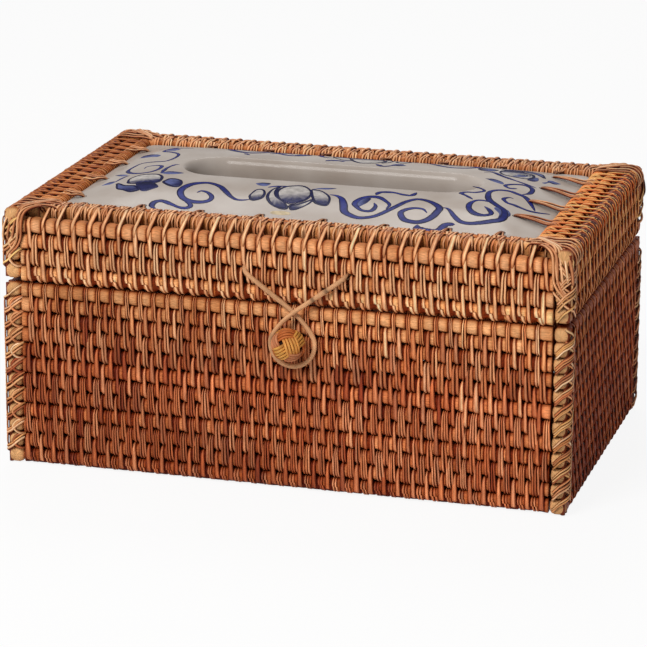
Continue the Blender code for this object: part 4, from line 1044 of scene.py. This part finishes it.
def paint():
    """Lotus flowers on a scroll, and again, turned half round, at the back where the photo shows none."""
    batch = Batch()
    for way in (1, -1):
        for light, dark, toward, outline in PETALS:
            if points := turned(outline, way, PETALS_BEYOND):
                wash(batch, points, light, dark, (way * toward[0], way * toward[1]))
        for index in OUTLINED:
            outline = PETALS[index][3]
            if points := turned(outline + outline[:2], way, PETALS_BEYOND):
                stroke(batch, points, 0.6, DEEP, 0.2)
        for width, course in VINES:
            if points := turned(course, way, VINES_BEYOND):
                stroke(batch, points, width)
    stain = [(-8 + 5 * math.cos(angle), -52 + 1.8 * math.sin(angle)) for angle in np.arange(0, 6.2, 0.7)]
    wash(batch, stain, STAIN, STAIN, (1, 0))
    batch.build("plate_painting", BLUE_GLAZE, "lid", ["ceramic_plate"], "glazed_plate")


paint()

# Stitches that hold the plate to the rim: the places of their holes, along a side and out from the middle

TIPS = {
    "front": [(-93.5, 55.5), (-68, 54.5), (-41.5, 55.5), (-15, 55), (12.5, 55), (39.5, 55.5), (66.5, 54.5),
              (88.5, 52.5)],
    "right": [(-34, 89.4), (-9.5, 90.4), (14.5, 90.4), (39, 90.5)],
    "back": [(-88, 54.5), (-62, 55), (-35, 54.5), (-8, 55), (20, 54.5), (47, 55), (74, 54.5)],
    "left": [(-40, 98), (-12, 98.5), (17, 98), (45, 98.5)],
}
# Stitch holes as thin dark discs on the glaze, painted shade for the holes: share of the radius and lift of
# each ring
HOLE_RINGS = ((0.05, -0.1), (0.8, 0), (1, 0.06), (1.15, 0.03), (1.2, -0.1), (0.05, -0.12))
HOLE_SHADE_TINT = srgb(52, 34, 30)


def stitch_route(side, along, out, spread, arch):
    """Points and normals from a hole in the plate to the valley between the rim's rods."""
    way, outward = SIDES[side]
    cross = side in ("front", "back")
    border = PLATE_DEPTH if cross else PLATE_WIDTH
    inner = (INNER_DEPTH if cross else INNER_WIDTH) - RIM_RADIUS - RIM_PITCH
    rows = []
    for at, slide, lift in ((out - 0.2, 0, -0.7), (out + 0.7, 0.15, 0.3),
                            ((out + border) / 2, 0.5, 0.5 + arch), (border - 0.2, 0.75, 0.55 + arch)):
        spot = (along + spread * slide) * way + at * outward
        rows.append((*spot[:2], plate_height(*spot[:2]) + lift, 0, 0, 1))
    for at, slide, drop, tilt in ((inner - 1, 0.85, 1 - arch, -0.1), (inner + 0.8, 0.92, 0.9 - arch, 0.1),
                                  (inner + 2.2, 0.97, 1.5, 0.4), (inner + 3, 1, 3, 0.8)):
        spot = (along + spread * slide) * way + at * outward
        rows.append((*spot[:2], LID_TOP - drop, *(tilt * outward[:2]), 1))
    return smooth(rows, 0.5)


def stitches():
    """Strands that start in threes at a hole in the plate, darker there than further on by painted shade."""
    strands, holes = Batch(), Batch()
    circle = np.linspace(0, 2 * np.pi, 15)[:-1]
    disc = together(np.cos(circle), np.sin(circle))
    for side, spots in TIPS.items():
        way, outward = SIDES[side]
        if side in ("front", "back"):
            arch, spreads, fade, darkest = 0, (-3.3, -1.9, 1.5), 14, 0.25
        else:
            arch, spreads, fade, darkest = 0.8, (-4.2, -1.6, 3.6), 9, 0.5
        for along, out in spots:
            tip = (along * way + out * outward)[:2]
            holes.tubes(np.array([[on_plate(tip + disc * share, lift)[0] for share, lift in HOLE_RINGS]]),
                        HOLE_SHADE_TINT, np.zeros(3))
            for spread in spreads:
                rows = stitch_route(side, along, out, spread, arch)
                # Painted shade: each strand darker near its hole, where it goes in
                pale = np.clip(np.arange(len(rows)) / fade, darkest, 1)[:, None] ** (1, 1.2, 1.4)
                ribbon(strands, rows[:, :3], rows[:, 3:], rng.uniform(1, 1.25) * (1 + 0.35 * arch), 0.7,
                       pick(LID_STRANDS, 1) * 1.12 * pale)
    strands.build("plate_stitches", CANE, "lid", (), "cane_lacing")
    holes.build("plate_stitch_holes", BLUE_GLAZE, "lid", (), "glazed_plate")


stitches()

# Knob

KNOB = np.array([CLOSURE_X, -87.3, ROD + 9 * BODY_PITCH + 2.2])
KNOB_RADIUS = 6.75
KNOB_TINTS = srgb((224, 156, 78), (196, 108, 52), (206, 134, 92), (218, 156, 76))
KNOB_SHADE = np.array([0.42, 0.7, 0.98, 1.06, 1.08, 1, 0.72, 0.42])
# Painted shade: the core's near-black tint is the dark of the hollow inside the ball
CORE_SHADE_TINT = srgb(36, 14, 6)

# The four bands' axes, and the sign of each one's waves, which take it over and under the others in turn
BAND_AXES = unit(np.array([(1, 1, 1), (-1, 1, 1), (1, -1, 1), (1, 1, -1)], float))
BAND_SIGNS = (-1, 1, 1, -1)


def knob():
    """A ball of four bands of split cane that pass over and under each other, round a dark core whose tint is
    painted shade.
    """
    batch, core = Batch(), Batch()
    phi = np.linspace(0, 2 * np.pi, 73)[:-1]
    turn = np.eye(3)
    for angle, axis in ((-0.42, "X"), (-0.36, "Z"), (0.22, "Y"), (0.12, "Z")):
        turn = turn @ np.array(Matrix.Rotation(angle, 3, axis))
    for i, (axis, sign) in enumerate(zip(BAND_AXES, BAND_SIGNS)):
        first = unit(np.cross(axis, BAND_AXES[(i + 1) % 4]))
        second = np.cross(axis, first)
        wave = sign * np.cos(3 * phi)
        side = STRAND[:, 0] * (1.36 * (1 + 0.04 * np.sin(5 * phi + i)))[:, None]
        for offset in (-2, -1, 0, 1, 2):
            latitude = offset * 1.3 / KNOB_RADIUS
            ring = np.cos(phi)[:, None] * first + np.sin(phi)[:, None] * second
            ring = ring * math.cos(latitude) + axis * math.sin(latitude)
            across = unit(np.cross(unit(np.roll(ring, -1, 0) - np.roll(ring, 1, 0)), ring))
            radius = (KNOB_RADIUS - 0.4 + 0.42 * wave - 0.05 * abs(offset))[:, None] + STRAND[:, 1] * 0.62
            points = ring[:, None] * radius[..., None] + across[:, None] * side[..., None]
            # Painted shade: a band darker where its wave takes it under the others
            colour = KNOB_TINTS[i] * rng.normal(1, 0.07) * warm((0.81 + 0.19 * wave)[:, None] * KNOB_SHADE)
            grains = together((phi * 6.5)[:, None], side, rng.uniform(0, 50))
            batch.tubes((points @ turn.T + KNOB)[None], colour[None], grains[None], loop=True)
    batch.build("knob_weave", CANE, "box", ["knob_ball"], "knob_weave")
    polar = np.linspace(0.05, np.pi - 0.05, 14)[:, None]
    around = np.linspace(0, 2 * np.pi, 25)[:-1]
    ball = together(np.sin(polar) * np.cos(around), np.cos(polar), np.sin(polar) * np.sin(around))
    bumps = KNOB_RADIUS - 1 + 0.12 * np.cos(6 * around) * np.sin(4 * polar)
    core.tubes((ball * bumps[..., None] + KNOB)[None], CORE_SHADE_TINT, (ball * 8)[None])
    core.build("knob_core", ROD_CANE, "box", ["knob_ball"], "knob_weave")


knob()

# Closing loop, with its places from the pivot

LOOP_PIVOT = np.array([CLOSURE_X, ROD - HALF_DEPTH, LID_FLOOR + ROD + LID_PITCH])
LOOP_OUT = 5.05
LOOP_OVER = 7.65
LOOP_HOOK = 2.75
LOOP_RING = 9.45
LOOP_RADIUS = 1.02
LOOP_TINT = srgb(212, 158, 114)
DARK_NODES = (0.8, 0.845)
RING_Z = KNOB[2] - 1.7 - LOOP_PIVOT[2]
CROSSING_Z = KNOB[2] + 12 - LOOP_PIVOT[2]


def loop_leg(side):
    """From the hook's end round the lid rod and out at the front."""
    points = []
    for angle in np.radians([265, 225, 180, 135, 95, 60]):
        points.append((side * LOOP_ANCHOR, -LOOP_HOOK * math.cos(angle), LOOP_HOOK * math.sin(angle)))
    points.append((side * (LOOP_ANCHOR - 0.5), -(LOOP_HOOK + LOOP_OUT) / 2, 1))
    points.append((side * (LOOP_ANCHOR - 2.6), -LOOP_OUT, -0.9))
    return points


def closing_loop():
    """One cane: a hook, the leg under the crossing, the ring round the knob, the leg over it, a hook."""
    left, right = loop_leg(-1), loop_leg(1)
    halfway = (left[-1][2] + CROSSING_Z) / 2
    route = [*left, (left[-1][0] / 2, -LOOP_OUT, halfway), (0, -LOOP_OUT, CROSSING_Z)]
    for degrees in (42, 80, 115, 148, 180, 212, 245, 280, 318):
        angle = math.radians(degrees)
        away = LOOP_OUT + (LOOP_OVER - LOOP_OUT) * degrees / 360
        route.append((LOOP_RING * math.sin(angle), -away, RING_Z + LOOP_RING * math.cos(angle)))
    route += [(0, -LOOP_OVER, CROSSING_Z), (right[-1][0] / 2, -(LOOP_OUT + LOOP_OVER) / 2, halfway)]
    route += right[::-1]
    path = smooth(route, 0.7)
    s = np.linspace(0, 1, len(path))
    radius = LOOP_RADIUS * (1 + 0.05 * np.sin(s * 40) + 0.03 * np.sin(s * 93))
    tint = LOOP_TINT * (1 + 0.14 * np.sin(s * 17 + 1))[:, None]
    for dark_node in DARK_NODES:
        tint = tint * (1 - 0.75 * np.exp(-((s - dark_node) / 0.006) ** 2)[:, None])
    batch = Batch()
    cord(batch, path + LOOP_PIVOT, radius, tint, 14)
    batch.build("closure_loop_cane", LOOP_CANE, "loop", ["closure_loop"], "cane_loop")


closing_loop()

# Bottom mat

BASE_RODS = 21
BASE_PITCH = 2 * INNER_DEPTH / BASE_RODS
BASE_Z = 3.2
BASE_ROD = (BASE_PITCH / 2 - ROD_GAP, 3)
BASE_PINCHED = (BASE_PITCH / 2 - 0.4, 2.4)
BASE_MARGIN = 2
BASE_STYLE = dict(BODY_STYLE, pitch=8, thickness=0.5, edge_wraps=0, bunches=[(1, 2, 0, 0.6, 1)], rod_light={},
                  step=1.15, sides=10, slot="rattan_base", colour_of=lid_shade(41))
base_rods = [rod_spec(((index - (BASE_RODS - 1) / 2) * BASE_PITCH, BASE_Z), (1, 0), BASE_ROD, BASE_PINCHED,
                      INNER_WIDTH, BASE_MARGIN) for index in range(BASE_RODS)]
weave("box_base", "base", "box", base_rods, ["box_base_panel"], BASE_STYLE)

# CAD parts that stay as they are

LEDGE_CANE = plain_cane("ledge_cane", srgb(120, 70, 38), srgb(170, 108, 64))
TIE_CANE = plain_cane("tie_cane", srgb(150, 92, 52), srgb(206, 146, 92))
for name, material in (
    ("plate_ledge_front", LEDGE_CANE), ("plate_ledge_back", LEDGE_CANE), ("plate_ledge_left", LEDGE_CANE),
    ("plate_ledge_right", LEDGE_CANE), ("knob_stem", TIE_CANE), ("hinge_tie_left", TIE_CANE),
    ("hinge_tie_middle", TIE_CANE), ("hinge_tie_right", TIE_CANE),
):
    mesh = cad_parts[name].data
    mesh.materials.clear()
    mesh.materials.append(material)

# Camera, light and floor, in metres

LENS = 182.3
CAMERA_PLACE = (0.3743, -1.3385, 0.4626)
CAMERA_TURNS = ((15.76, "Z"), (73.51, "X"), (0.32, "Z"))
SENSOR = 36.0
NEAR_CLIP = 0.05
LAMP_TARGET = Vector((0, 0, 0.06))
LAMP_SIZE = 0.6
FLOOR_REACH = 6.0


def add_camera():
    """The photograph's view, from the fit of the box's corners."""
    data = bpy.data.cameras.new("camera")
    data.lens = LENS
    data.sensor_width = SENSOR
    data.clip_start = NEAR_CLIP
    camera = put("camera", data)
    matrix = Matrix.Translation(CAMERA_PLACE)
    for degrees, axis in CAMERA_TURNS:
        matrix = matrix @ Matrix.Rotation(math.radians(degrees), 4, axis)
    camera.matrix_world = matrix
    bpy.context.scene.camera = camera


def add_lamp(name, location, power, colour=(1, 1, 1)):
    """A square lamp that faces the box."""
    data = bpy.data.lights.new(name, "AREA")
    data.size = LAMP_SIZE
    data.energy = power
    data.color = colour
    lamp = put(name, data)
    lamp.location = location
    lamp.rotation_euler = (LAMP_TARGET - Vector(location)).to_track_quat("-Z", "Y").to_euler()


def white_rays(wiring, dark, light):
    """The light value for rays from the camera and from mirrors and glass, else the dark one."""
    seen = wiring.add("LightPath", {}, "Is Camera Ray")
    path = seen.node
    for name in ("Is Glossy Ray", "Is Transmission Ray"):
        seen = wiring.add("Math", {0: seen, 1: path.outputs[name]}, operation="MAXIMUM")
    return wiring.remap(seen, dark, light, 0, 1)


def add_world():
    """A white surrounding that lights the box faintly."""
    world = bpy.data.worlds.new("studio")
    bpy.context.scene.world = world
    wiring = Wiring(world)
    wiring.feed(wiring.nodes["Background"], {"Color": (1, 1, 1, 1), "Strength": white_rays(wiring, 0.3, 1)})


def add_floor():
    """A wide pale floor that shows white and keeps the box's shadow."""
    material, wiring, shader = new_material("floor")
    wiring.feed(shader, {"Base Color": (0.9, 0.9, 0.9, 1), "Roughness": 0.9, "Specular IOR Level": 0.0})
    glow = wiring.add("Emission", {})
    blend = wiring.add("MixShader", {0: white_rays(wiring, 0, 0.9), 1: shader.outputs[0], 2: glow})
    wiring.feed(wiring.nodes["Material Output"], {"Surface": blend})
    mesh = bpy.data.meshes.new("floor")
    corners = [(x * FLOOR_REACH, y * FLOOR_REACH, 0) for x, y in ((-1, -1), (1, -1), (1, 1), (-1, 1))]
    mesh.from_pydata(corners, [], [(0, 1, 2, 3)])
    mesh.materials.append(material)
    put("floor", mesh)


add_camera()
add_lamp("key", (-0.35, -1.1, 1.1), 15.5, (1, 0.98, 0.95))
add_lamp("back", (-0.3, 0.9, 1.2), 5)
add_world()
add_floor()
bpy.context.scene.view_settings.view_transform = "Standard"
